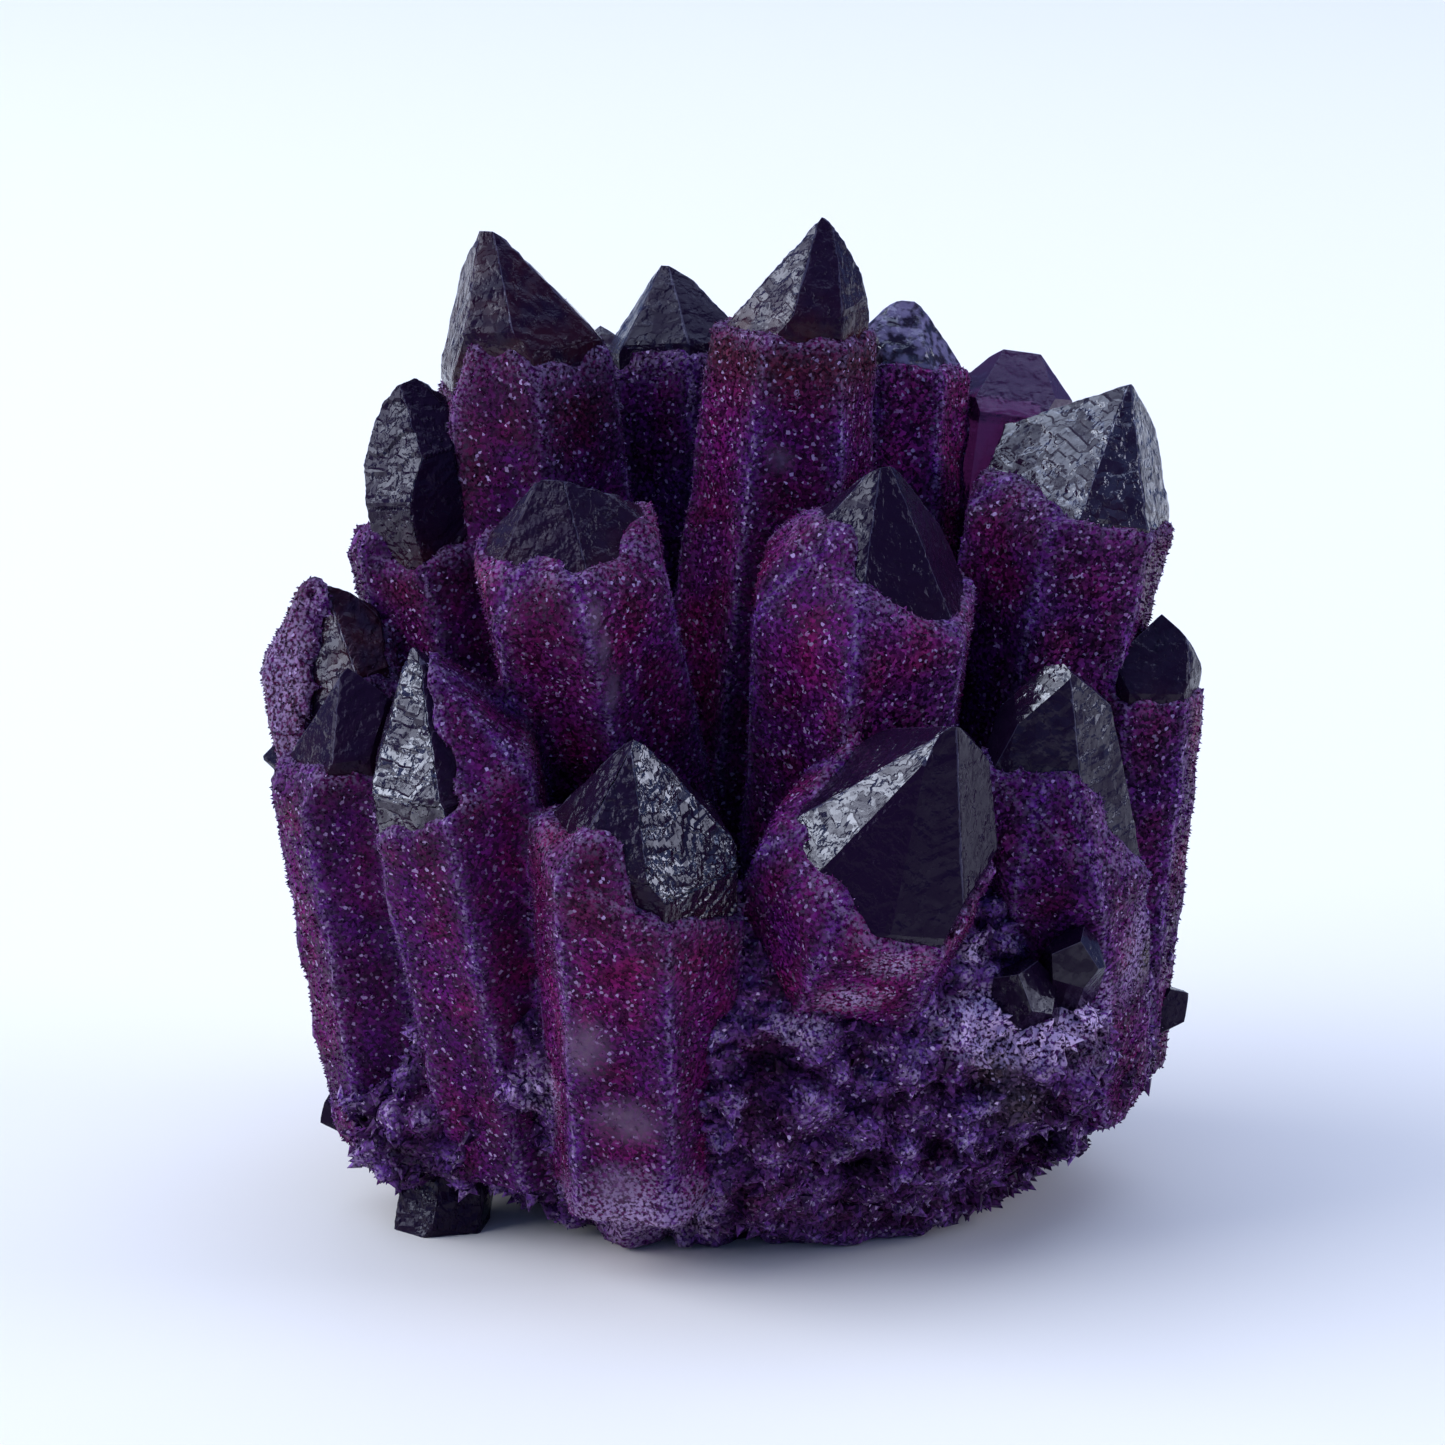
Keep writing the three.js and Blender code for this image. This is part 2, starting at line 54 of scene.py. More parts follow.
# tip is a crystal's point, neck the middle of its prism just under the end faces, and root its axis's lower
# end in the foot. across is its thickness at the neck, slim the same at the root as a share of it, and turn
# where its first long side looks. rises is how far outside the tip each end face lies, and steep the angle of
# one that differs.
# brim is the flat edge of its coat: the height over the neck, and the rise towards +X and +Y. cap is a flat
# across the tip, and bevel a face across one of its edges, each a point and the way it looks.
CRYSTALS = [
    # The tall ones in the middle of the cluster.
    dict(name="back_left_tall", tip=[-24.5, 5, 96.5], neck=[-21.5, 5, 85.5], root=[-17, 5, 36], across=15.5,
         slim=1.25, turn=10, rises=[0.6, 0, 2, 0.9, 0, 0.3], steep={3: 20}),
    dict(name="back_slot", tip=[-7.4, 18, 90.4], neck=[-6, 17, 81], root=[-4, 9, 36], across=13.5, slim=1,
         turn=10, rises=[1.5, 0, 1, 0.3, 0.2, 0.6], steep={3: 32, 4: 36}),
    dict(name="middle_tall", tip=[7.8, 2, 98], neck=[5.6, 2, 87], root=[1.5, 3, 36], across=13.2, slim=1.4,
         turn=38, rises=[1, 0.5, 0, 0, 0, 1.4], steep={2: 34, 3: 34, 5: 25}, brim=[0.5, 0, 0]),
    dict(name="back_right_chisel", tip=[18.4, 12, 88], neck=[17.2, 12, 80.5], root=[14, 6, 36], across=10.2,
         slim=1.2, turn=30, rises=[0, 0, 2, 1.5, 0, 0], steep={3: 45, 5: 28}, brim=[1.5, 0, 0]),
    dict(name="back_right_clear", tip=[29, 16, 82], neck=[27.3, 15, 74], root=[22, 8, 36], across=11,
         slim=0.9, turn=30, rises=[1.2, 0, 2, 1.4, 0, 1.2], coat=0),
    # The ring half way up.
    dict(name="right_high", tip=[38.6, 0, 82.2], neck=[33.2, -1, 69.5], root=[25, 0, 28], across=17.8,
         slim=0.8, turn=44, rises=[2, 0, 5.5, 0, 0, 0.3], steep={5: 26}, brim=[1.5, -0.1, 0]),
    dict(name="middle_right", tip=[14, -18, 77.3], neck=[12.4, -16.5, 63.5], root=[9, -6, 20],
         across=19.2, slim=0.85, turn=53, rises=[1.5, 0.5, 1, 0.3, 0, 0.8], steep={5: 32},
         brim=[4.5, -0.35, 0]),
    dict(name="middle_left", tip=[-18.5, -20, 77], neck=[-15.8, -19, 66.5], root=[-8, -4, 26], across=16.5,
         slim=0.95, turn=10, rises=[2.5, 0, 0.5, 0.5, 0, 1.2], steep={0: 44, 3: 44, 4: 46, 5: 46},
         brim=[4.5, 0, 0]),
    dict(name="left_high", tip=[-33.5, 2, 81.8], neck=[-31.3, 1.5, 70], root=[-22, 2, 28], across=10.2,
         slim=1.05, turn=52, rises=[1.5, 0, 1.5, 0, 0, 1.5], steep={2: 26, 3: 28}, brim=[-4.5, 0, 0]),
    dict(name="left_shoulder", tip=[-35.6, 2, 68.6], neck=[-35, 2, 65], root=[-28.5, 2, 34], across=5.5,
         slim=1.2, turn=20, rises=OTHER_THREE, brim=[3, 0, 0]),
    # The outer ring.
    dict(name="left_frosted", tip=[-40.6, -2, 62.3], neck=[-40.6, -2.5, 54], root=[-32, 0, 18], across=12.5,
         slim=0.9, turn=0, rises=[1, 0, 2, 1.6, 0.3, 0], steep={4: 30}),
    dict(name="left_black", tip=[-38, -14, 56.9], neck=[-38.7, -13, 46.5], root=[-33.6, -9.4, 8], across=12,
         slim=0.9, turn=30, rises=[0, 1.6, 0, 0.6, 0, 1.8], steep={3: 30}, brim=[1.5, 0, 0]),
    dict(name="front_left", tip=[-31, -26, 61.2], neck=[-27.6, -25, 50], root=[-20.5, -16, 8], across=15,
         slim=0.95, turn=58, rises=[1, 1, 0.5, 0, 0.5, 0.5], steep={2: 26, 3: 34, 4: 36},
         brim=[-0.8, 0.45, 0]),
    dict(name="front_middle", tip=[-9.6, -36, 54.6], neck=[-9.5, -33, 43], root=[-9, -26, 8], across=17.5,
         slim=0.85, turn=16, rises=[1, 1, 1.5, 0.6, 0.4, 0], steep={5: 35}, brim=[-0.6, -0.41, 0]),
    dict(name="front_right", tip=[19.8, -38, 57], neck=[13.5, -33, 44], root=[5, -12, 12], across=19.6,
         slim=0.85, turn=35, rises=[1, 0.4, 0.2, 0.5, 0, 0.6], steep={2: 36, 5: 30}, brim=[0.5, -0.28, 0.4],
         bevel=[[18.6, -38.6, 56], [-0.26, -0.95, 0.15]]),
    dict(name="right_long_face", tip=[30.5, -22, 58.6], neck=[31.5, -19, 41], root=[33, -8, 12], across=14,
         slim=0.95, turn=25, rises=[1, 1, 1, 0.5, 0, 1.2], steep={4: 28, 5: 20}, brim=[4, -0.8, 0],
         cap=[[28.6, -23.5, 53.4], [-0.5, -0.62, 0.56]]),
    dict(name="right_edge", tip=[42, -4, 59.8], neck=[40.3, -4, 51], root=[37, -2, 12], across=10, slim=1,
         turn=40, rises=THREE_LARGE, steep={5: 25}, brim=[1.5, 0, 0]),
    # The far side.
    dict(name="far_high_left", tip=[-14, 25, 83], neck=[-12, 22, 72], root=[-7, 10, 30], across=16, slim=0.9,
         turn=20, rises=THREE_LARGE),
    dict(name="far_high_right", tip=[14, 27, 79], neck=[12, 24, 68], root=[7, 10, 28], across=17, slim=0.85,
         turn=5, rises=OTHER_THREE, brim=[2, 0.3, 0]),
    dict(name="far_left", tip=[-28, 21, 73], neck=[-26, 19, 62], root=[-17, 9, 26], across=13, slim=0.9,
         turn=35, rises=OTHER_THREE),
    dict(name="far_right", tip=[31, 24, 67], neck=[29, 21, 56], root=[20, 10, 16], across=15, slim=0.8,
         turn=50, rises=THREE_LARGE, brim=[1, 0, 0.4]),
    dict(name="far_low_left", tip=[-27, 34, 59], neck=[-24, 30, 48], root=[-15, 14, 12], across=15, slim=0.75,
         turn=0, rises=CHISEL),
    dict(name="far_low_middle", tip=[-4, 41, 57], neck=[-4, 36, 44], root=[-3, 16, 8], across=18, slim=0.7,
         turn=25, rises=THREE_LARGE, brim=[-2, 0.4, 0]),
    dict(name="far_low_right", tip=[20, 38, 60], neck=[18, 34, 48], root=[10, 15, 12], across=16, slim=0.75,
         turn=10, rises=OTHER_THREE),
    dict(name="right_far_low", tip=[40, 15, 51], neck=[38, 14, 42], root=[30, 8, 10], across=11, slim=0.9,
         turn=15, rises=THREE_LARGE),
    dict(name="left_far_low", tip=[-38, 15, 50], neck=[-36, 14, 41], root=[-28, 8, 10], across=12, slim=0.85,
         turn=45, rises=CHISEL),
    dict(name="far_low_gap", tip=[9, 42, 47], neck=[8, 38, 38], root=[4, 18, 8], across=11, slim=0.85,
         turn=35, rises=CHISEL, brim=[0.5, -0.3, 0]),
    dict(name="far_side_left", tip=[-35, 27, 44], neck=[-33, 24, 35], root=[-22, 12, 8], across=11, slim=0.85,
         turn=20, rises=THREE_LARGE),
    dict(name="far_side_right", tip=[33, 31, 42], neck=[31, 27, 33], root=[21, 13, 8], across=12, slim=0.8,
         turn=5, rises=OTHER_THREE),
    # The lower end of the front middle crystal, which narrows to the cut, and the small ones by the foot.
    dict(name="front_middle_end", tip=[-10, -18.5, -9], neck=[-9.5, -24, 11], root=[-9.5, -28, 30], across=15,
         slim=1, turn=16, rises=[0, 0, 0, 0, 0, 0], steep={0: 22, 1: 22, 2: 22, 3: 22, 4: 22, 5: 22}, coat=0),
    dict(name="stub", tip=[-29.5, -16.6, -6], neck=[-29.3, -15, 0.6], root=[-27.5, -12, 12], across=9, slim=1,
         turn=8, rises=CHISEL, coat=0, cap=[[0, 0, 0], [0, 0, -1]]),
    dict(name="left_knob", tip=[-42, -8, 8], neck=[-39.5, -7.5, 9], root=[-30, -5, 14], across=5, slim=1.2,
         turn=10, rises=OTHER_THREE, coat=0),
    dict(name="left_chip", tip=[-46, -4, 46.4], neck=[-44.5, -4, 44.5], root=[-38.5, -3, 38], across=3.2,
         slim=1.2, turn=40, rises=CHISEL, coat=0),
    dict(name="right_knob", tip=[45.6, -3, 20.2], neck=[42.5, -3, 18.2], root=[34, -2, 14], across=4.4,
         slim=1.2, turn=30, rises=THREE_LARGE, coat=0),
    dict(name="small_glossy", tip=[33, -29, 33.5], neck=[32.6, -26.5, 31], root=[31, -16, 22], across=5.4,
         slim=1.2, turn=15, rises=THREE_LARGE, coat=0),
    dict(name="small_grey", tip=[27, -30, 30.5], neck=[27.6, -27.5, 28], root=[29, -18, 20], across=6,
         slim=1.3, turn=50, rises=OTHER_THREE, coat=0),
]


def unit(vector):
    vector = np.asarray(vector, float)
    return vector / np.linalg.norm(vector)


def crystal_axes(crystal):
    """The tip, the neck, and the directions along the crystal, to its right and to its far side."""
    tip, neck, root = (np.array(crystal[key], float) for key in ("tip", "neck", "root"))
    along = unit(neck - root)
    right = unit(np.array([1.0, 0.0, 0.0]) - along * along[0])
    return tip, neck, root, along, right, np.cross(along, right)


def crystal_planes(crystal, grow=0.0, raised=0.0, extra=()):
    """A crystal's planes as normals and distances: the root, each side and its end face, then the rest."""
    tip, neck, root, along, right, ahead = crystal_axes(crystal)
    half = crystal["across"] / 2
    lean = half * (1 - crystal["slim"]) / np.linalg.norm(neck - root)
    planes = [(-along, root)]
    for side in range(SIDES):
        angle = math.radians(crystal["turn"] + side * 360 / SIDES)
        outward = right * math.cos(angle) + ahead * math.sin(angle)
        planes.append((outward - along * lean, neck + outward * (half + grow)))
        end = math.radians(crystal.get("steep", {}).get(side, END_FACE_ANGLE))
        normal = outward * math.cos(end) + along * math.sin(end)
        planes.append((normal, tip + normal * (crystal["rises"][side] + raised)))
    for cut, outside in (("cap", 0.0), ("bevel", grow)):
        if cut in crystal:
            normal = unit(crystal[cut][1])
            planes.append((normal, np.array(crystal[cut][0], float) + normal * outside))
    planes.extend(extra)
    normals = np.array([unit(normal) for normal, _ in planes])
    return normals, np.array([n @ point for n, (_, point) in zip(normals, planes)])


# Planes this nearly parallel share no corner, a corner this near a plane is on it, and two this near are one.
PARALLEL = 0.000001
ON_PLANE = 0.0001
ONE_CORNER = 0.001


def corners_behind(normals, distances):
    """The corners of the closed shape behind all of the planes."""
    corners = []
    for three in itertools.combinations(range(len(normals)), 3):
        rows = normals[list(three)]
        if abs(np.linalg.det(rows)) < PARALLEL:
            continue
        point = np.linalg.solve(rows, distances[list(three)])
        if (normals @ point - distances).max() < ON_PLANE:
            if all(np.linalg.norm(point - other) > ONE_CORNER for other in corners):
                corners.append(point)
    return np.array(corners)


# Large uneven factors that scatter the fixed pseudo-random numbers below.
UNEVEN = (127.1, 311.7, 74.7, 53.3)
SCATTER = 43758.5453


def cell_value(x, y, z, draw):
    """A fixed pseudo-random number from 0 to 1 for each cell of space. Each use has its own draw number."""
    wave = np.sin(x * UNEVEN[0] + y * UNEVEN[1] + z * UNEVEN[2] + draw * UNEVEN[3]) * SCATTER
    return wave - np.floor(wave)


def soft_noise(points, size, draw):
    """Smooth noise from 0 to 1 whose patches are as wide as size."""
    place = points / size
    cell = np.floor(place)
    share = place - cell
    share = share * share * (3 - 2 * share)
    total = np.zeros(len(points))
    for step in itertools.product((0, 1), repeat=3):
        weight = np.prod(np.where(step, share, 1 - share), axis=1)
        total += weight * cell_value(*(cell + step).T, draw)
    return total


# How many times long edges are halved, and how near to each other corners are that become one.
HALVINGS = 6
SAME_CORNER = 0.12


def fine_triangles(corners, longest):
    """A convex shape around the corners, its faces cut into triangles with no side longer than longest."""
    shape = bmesh.new()
    for corner in corners:
        shape.verts.new(corner)
    bmesh.ops.remove_doubles(shape, verts=shape.verts[:], dist=SAME_CORNER)
    bmesh.ops.convex_hull(shape, input=shape.verts[:])
    for _ in range(HALVINGS):
        long_edges = [edge for edge in shape.edges if edge.calc_length() > longest]
        bmesh.ops.subdivide_edges(shape, edges=long_edges, cuts=1)
        bmesh.ops.triangulate(shape, faces=shape.faces[:])
    shape.normal_update()
    shape.verts.index_update()
    points = np.array([vertex.co for vertex in shape.verts], float)
    triangles = np.array([[vertex.index for vertex in face.verts] for face in shape.faces])
    shape.free()
    return points, triangles


def new_object(name, points, faces, material, smooth=False):
    """A mesh object at the origin. Points are in millimetres, and faces are rows of corner numbers."""
    mesh = bpy.data.meshes.new(name)
    mesh.vertices.add(len(points))
    mesh.vertices.foreach_set("co", (np.asarray(points) * MM).astype(np.float32).ravel())
    sides = faces.shape[1]
    mesh.loops.add(faces.size)
    mesh.loops.foreach_set("vertex_index", faces.astype(np.int32).ravel())
    mesh.polygons.add(len(faces))
    mesh.polygons.foreach_set("loop_start", np.arange(len(faces), dtype=np.int32) * sides)
    mesh.polygons.foreach_set("use_smooth", np.full(len(faces), smooth))
    mesh.update(calc_edges=True)
    mesh.materials.append(material)
    made = bpy.data.objects.new(name, mesh)
    bpy.context.scene.collection.objects.link(made)
    return made


def give_attribute(made, name, values, kind="FLOAT", domain="POINT"):
    field = "value" if kind == "FLOAT" else "vector"
    attribute = made.data.attributes.new(name, kind, domain)
    attribute.data.foreach_set(field, np.asarray(values, np.float32).ravel())


# How each bare end looks: how strong its growth ledges are, how frosted it is, how brown-red its foot is,
# how much of a silvery film its left and its right faces have, and the longest side of its triangles. The
# ones not named here are as PLAIN_END.
PLAIN_END = (0.35, 0.15, 0.2, 0.3, 0.2, 1.4)
ENDS = {
    "front_left": (1.0, 0.12, 0.2, 1.0, 0.0, 0.6),
    "front_middle": (1.0, 0.1, 0.5, 0.12, 0.8, 0.6),
    "left_high": (1.0, 0.05, 0.5, 0.34, 0.02, 0.6),
    "left_frosted": (0.8, 0.2, 0.8, 0.36, 0.05, 0.7),
    "right_high": (0.6, 0.1, 0.3, 1.0, 0.5, 0.8),
    "middle_tall": (0.7, 0.1, 1.0, 0.45, 0.03, 0.8),
    "back_left_tall": (0.6, 0.05, 0.6, 0.2, 0.02, 1.0),
    "back_slot": (0.5, 0.1, 0.0, 0.15, 0.02, 1.0),
    "back_right_chisel": (0.5, 0.8, 0.2, 0.8, 0.4, 1.0),
    "middle_left": (0.8, 0.1, 0.3, 0.05, 0.06, 0.7),
    "middle_right": (0.6, 0.0, 0.1, 0.25, 0.03, 1.0),
    "right_long_face": (0.3, 0.1, 0.0, 0.05, 0.3, 1.0),
    "front_right": (0.4, 0.0, 0.0, 1.0, 0.05, 0.8),
    "left_black": (0.5, 0.0, 0.3, 0.03, 0.0, 0.8),
    "right_edge": (0.5, 0.1, 0.2, 0.2, 0.1, 1.0),
    "back_right_clear": (0.1, 0.1, 0.0, 0.1, 0.06, 1.2),
    "stub": (0.9, 0.0, 0.3, 0.15, 0.05, 0.8),
    "right_knob": (0.5, 0.0, 0.2, 0.05, 0.05, 1.0),
    "left_knob": (0.5, 0.0, 0.2, 0.05, 0.05, 1.0),
    "small_glossy": (0.1, 0.0, 0.0, 0.2, 0.05, 1.0),
    "small_grey": (0.1, 0.0, 0.0, 0.3, 0.15, 1.0),
}
# The film of single faces that differ from the rest of their crystal, by the number of their side.
FACE_FILMS = {("back_left_tall", 3): 0.03, ("right_long_face", "cap"): 1.0, ("front_right", "bevel"): 0.0,
              ("right_high", 5): 0.75}
# A face that looks further left than the first number has the left film, and further right than the second
# the right one.
FILM_TURNS = (-0.2, 0.15)
# The growth ledges: how deep they are, how far apart, how much they slope into chevrons, by how many of them
# they wander, how many narrow ones there are to a broad one, and how deep each kind is as a share.
DEEPEST_LEDGE = 0.33
LEDGE_SPACING = 1.5
CHEVRON = 0.5
LEDGE_WANDER = 2.2
NARROW_TO_BROAD = 2.7
BROAD_DEPTH = 0.65
NARROW_DEPTH = 0.35
# How far a bare end reaches under its coat, and how near to a face a point counts as on it.
UNDER_COAT = 1.5
ON_FACE = 0.15
# How thick the coat is, how far under the end faces it stops where it has no brim, and how much of that stays
# clear where its edge is ragged.
COAT = 0.7
COLLAR = 0.8
COLLAR_SHOWS = 0.35
# The patterns of the material tell faces apart by a number: the side, and this much more for each crystal.
NEXT_CRYSTAL = 0.37


def coat_planes(crystal):
    """The planes around a crystal's coat, and the numbers of those at the coat's upper edge."""
    if "cover" in crystal:
        cuts = [(np.array(normal, float), np.array(point, float)) for point, normal in crystal["cover"]]
        normals, distances = crystal_planes(crystal, COAT, COAT, cuts)
        return normals, distances, list(range(len(normals) - len(cuts), len(normals)))
    if "brim" not in crystal:
        return *crystal_planes(crystal, COAT, -COLLAR), list(range(2, 2 * SIDES + 1, 2))
    _, neck, _, along, _, _ = crystal_axes(crystal)
    height, towards_x, towards_y = crystal["brim"]
    brim = (along + np.array([-towards_x, -towards_y, 0.0]), neck + along * height)
    normals, distances = crystal_planes(crystal, COAT, COAT, [brim])
    return normals, distances, [len(normals) - 1]


def facet_place(crystal, normal, points):
    """How far down the slope of a face each point is from the tip, and how far across it, in millimetres."""
    tip, _, _, along, first_side, _ = crystal_axes(crystal)
    slope = normal * (along @ normal) - along
    down = unit(slope if np.linalg.norm(slope) > ONE_CORNER else first_side)
    return (points - tip) @ down, (points - tip) @ np.cross(normal, down)


def ledge_depth(crystal, number, side, normal, points):
    """How deep under a face its growth ledges and etched hollows lie at each point."""
    down, across = facet_place(crystal, normal, points)
    shift = cell_value(number, side, 0, 11) * 8 - 4
    wander = soft_noise(points, 4.0, 12)
    step = down / LEDGE_SPACING + CHEVRON * np.abs(across + shift) / LEDGE_SPACING + LEDGE_WANDER * wander
    broad = cell_value(np.floor(step), side, number, 13)
    narrow_step = np.floor(step * NARROW_TO_BROAD + soft_noise(points, 1.2, 14))
    narrow = cell_value(narrow_step, side, number, 15)
    hollow = np.clip(soft_noise(points, 1.7, 16) - 0.7, 0, 1) * 1.5
    strength = ENDS.get(crystal["name"], PLAIN_END)[0] * DEEPEST_LEDGE
    return strength * (BROAD_DEPTH * broad + NARROW_DEPTH * narrow + hollow)


def bare_end(crystal, number, longest):
    """The bare end of one crystal, down to a little under its coat's edge."""
    _, neck, _, along, _, _ = crystal_axes(crystal)
    extra = []
    if crystal.get("coat") != 0:
        height = min(0.0, crystal.get("brim", [0.0])[0])
        extra = [(-along, neck + along * (height - UNDER_COAT - crystal["across"] * 0.15))]
    normals, distances = crystal_planes(crystal, extra=extra)
    points, triangles = fine_triangles(corners_behind(normals, distances), longest)
    facet = np.argmax(points[triangles].mean(axis=1) @ normals.T - distances, axis=1)
    place = np.zeros((len(triangles), 3, 3))
    film_left, film_right = ENDS.get(crystal["name"], PLAIN_END)[3:5]
    film = np.interp(normals[facet, 0], FILM_TURNS, (film_left, film_right))
    cuts = [cut for cut in ("cap", "bevel") if cut in crystal]
    for side in [*range(SIDES), *cuts]:
        if (crystal["name"], side) in FACE_FILMS:
            row = 2 * side + 2 if side in range(SIDES) else 2 * SIDES + 1 + cuts.index(side)
            film[facet == row] = FACE_FILMS[crystal["name"], side]
    moved = points.copy()
    for side, normal in enumerate(normals):
        mine = facet == side
        down, across = facet_place(crystal, normal, points[triangles[mine]].reshape(-1, 3))
        own_number = np.full(len(down), side + NEXT_CRYSTAL * number)
        place[mine] = np.stack([down, across, own_number], axis=1).reshape(-1, 3, 3)
        on_face = np.abs(points @ normal - distances[side]) < ON_FACE
        if 0 < side < 2 * SIDES + 1:
            moved[on_face] -= np.outer(ledge_depth(crystal, number, side, normal, points[on_face]), normal)
    end_faces = slice(2, 2 * SIDES + 1, 2)
    on_faces = (np.abs(points @ normals[end_faces].T - distances[end_faces]) < ON_FACE).sum(axis=1)
    if crystal.get("coat") == 0:
        above = np.full(len(points), 9.0)
    else:
        coat_normals, coat_distances, _ = coat_planes(crystal)
        above = (points @ coat_normals.T - coat_distances).max(axis=1)
    return moved, triangles, place, film.repeat(3), above, np.where(on_faces > 1, 1.0, 0.0)


def joined(meshes):
    """Several meshes, each a list of arrays with its points first and its triangles second, as one."""
    starts = np.cumsum([0] + [len(mesh[0]) for mesh in meshes])
    triangles = np.concatenate([mesh[1] + start for mesh, start in zip(meshes, starts)])
    arrays = [np.concatenate(parts) for parts in zip(*meshes)]
    arrays[1] = triangles
    return arrays


def add_node(tree, kind, inputs=(), **settings):
    """A node with its settings and its inputs: a socket is linked, and anything else is the input's value."""
    made = tree.nodes.new(kind)
    for key, value in settings.items():
        setattr(made, key, value)
    for key, value in dict(inputs).items():
        if isinstance(value, bpy.types.NodeSocket):
            tree.links.new(value, made.inputs[key])
        else:
            made.inputs[key].default_value = value
    return made


def maths(tree, operation, *values):
    return add_node(tree, "ShaderNodeMath", dict(enumerate(values)), operation=operation).outputs[0]


def blend(tree, share, first, second):
    """A mix of two colours, from the first at 0 to the second at 1."""
    made = add_node(tree, "ShaderNodeMix", {0: share, 6: first, 7: second}, data_type="RGBA")
    return made.outputs[2]


def ramp(tree, value, low, high):
    """0 where a value is at or under low, 1 where it is at or over high, and smooth between."""
    made = add_node(tree, "ShaderNodeMapRange", {0: value, 1: low, 2: high}, interpolation_type="SMOOTHSTEP")
    return made.outputs[0]


def noise(tree, place, scale, detail=3.0):
    made = add_node(tree, "ShaderNodeTexNoise", {"Vector": place, "Scale": scale, "Detail": detail})
    return made.outputs["Fac"]


def attribute(tree, name, output="Fac"):
    return add_node(tree, "ShaderNodeAttribute", attribute_name=name).outputs[output]


def new_group(name, inputs, outputs):
    """An empty shader node group with named inputs and outputs, each of them a socket kind by its name."""
    group = bpy.data.node_groups.new(name, "ShaderNodeTree")
    for in_out, sockets in (("INPUT", inputs), ("OUTPUT", outputs)):
        for label, kind in sockets.items():
            group.interface.new_socket(name=label, in_out=in_out, socket_type="NodeSocket" + kind)
    return group, group.nodes.new("NodeGroupInput").outputs, group.nodes.new("NodeGroupOutput")


def new_material(name):
    """A material with only its output and a Principled shader."""
    material = bpy.data.materials.new(name)
    material.use_nodes = True
    tree = material.node_tree
    return material, tree, tree.nodes["Principled BSDF"]


def finish_shader(tree, shader, **inputs):
    """Links or sets the shader's inputs, whose names are given with _ for a space."""
    for key, value in inputs.items():
        socket = shader.inputs[key.replace("_", " ")]
        if isinstance(value, bpy.types.NodeSocket):
            tree.links.new(value, socket)
        else:
            socket.default_value = value


def growth_marks():
    """The marks of growth on a bare face: zigzag steps, streaks down the slope, pits and dull flecks.

    Place is how far a spot is down the slope and across it, and a number that is its face's own.
    """
    group, given, result = new_group("growth_marks", {"Place": "Vector", "Spacing": "Float"},
                                     {"Height": "Float", "Steps": "Float", "Pits": "Float", "Plate": "Float",
                                      "Flecks": "Float"})
    down, across, face = add_node(group, "ShaderNodeSeparateXYZ", {0: given["Place"]}).outputs
    wide = given["Place"]
    wander = noise(group, wide, 0.45, 3.0)
    drift = noise(group, wide, 0.16, 2.0)
    # The steps cross the slope in zigzags whose width, height and lean drift from place to place.
    swing = maths(group, "MULTIPLY_ADD", across, 0.21, maths(group, "MULTIPLY_ADD", wander, 1.6, face))
    zigzag = maths(group, "ABSOLUTE", maths(group, "SUBTRACT", maths(group, "FRACT", swing), 0.5))
    slope = maths(group, "MULTIPLY_ADD", maths(group, "MULTIPLY", zigzag, drift), 5.0, down)
    slope = maths(group, "MULTIPLY_ADD", across, maths(group, "MULTIPLY_ADD", drift, 1.6, -0.5), slope)
    steps = maths(group, "DIVIDE", maths(group, "MULTIPLY_ADD", wander, 2.6, slope), given["Spacing"])
    phase = maths(group, "FRACT", steps)
    # A step rises slowly over most of its width and falls in a narrow riser.
    tread = maths(group, "MINIMUM", maths(group, "DIVIDE", phase, 0.82),
                  maths(group, "DIVIDE", maths(group, "SUBTRACT", 1.0, phase), 0.18))
    patch = ramp(group, noise(group, wide, 0.55, 3.0), 0.38, 0.56)
    # Each plate between two steps and two turns of the zigzag has a level of its own.
    row = add_node(group, "ShaderNodeCombineXYZ", {
        0: maths(group, "FLOOR", steps), 1: maths(group, "FLOOR", maths(group, "MULTIPLY", swing, 2.0)),
        2: maths(group, "FLOOR", maths(group, "MULTIPLY", face, 100.0))}).outputs[0]
    plate = add_node(group, "ShaderNodeTexWhiteNoise", {"Vector": row}).outputs["Value"]
    # Fine streaks run down the slope, the pits are round, and the flecks lie aslant.
    streak_place = add_node(group, "ShaderNodeCombineXYZ", {
        0: maths(group, "MULTIPLY", down, 0.4), 1: maths(group, "MULTIPLY", across, 2.6), 2: face}).outputs[0]
    streaks = noise(group, streak_place, 1.0, 5.0)
    pits = ramp(group, noise(group, wide, 1.9, 3.0), 0.62, 0.66)
    fleck_place = add_node(group, "ShaderNodeCombineXYZ", {
        0: maths(group, "MULTIPLY", down, 0.6), 1: maths(group, "MULTIPLY_ADD", down, 0.5, across),
        2: face}).outputs[0]
    flecks = ramp(group, noise(group, fleck_place, 1.3, 3.0), 0.44, 0.5)
    group.links.new(flecks, result.inputs["Flecks"])
    height = maths(group, "MULTIPLY", maths(group, "MULTIPLY_ADD", tread, 0.14, plate), patch)
    height = maths(group, "MULTIPLY_ADD", streaks, 0.045, height)
    height = maths(group, "MULTIPLY_ADD", pits, -0.12, height)
    group.links.new(height, result.inputs["Height"])
    group.links.new(maths(group, "MULTIPLY", ramp(group, phase, 0.8, 0.85), patch), result.inputs["Steps"])
    group.links.new(pits, result.inputs["Pits"])
    group.links.new(plate, result.inputs["Plate"])
    return group


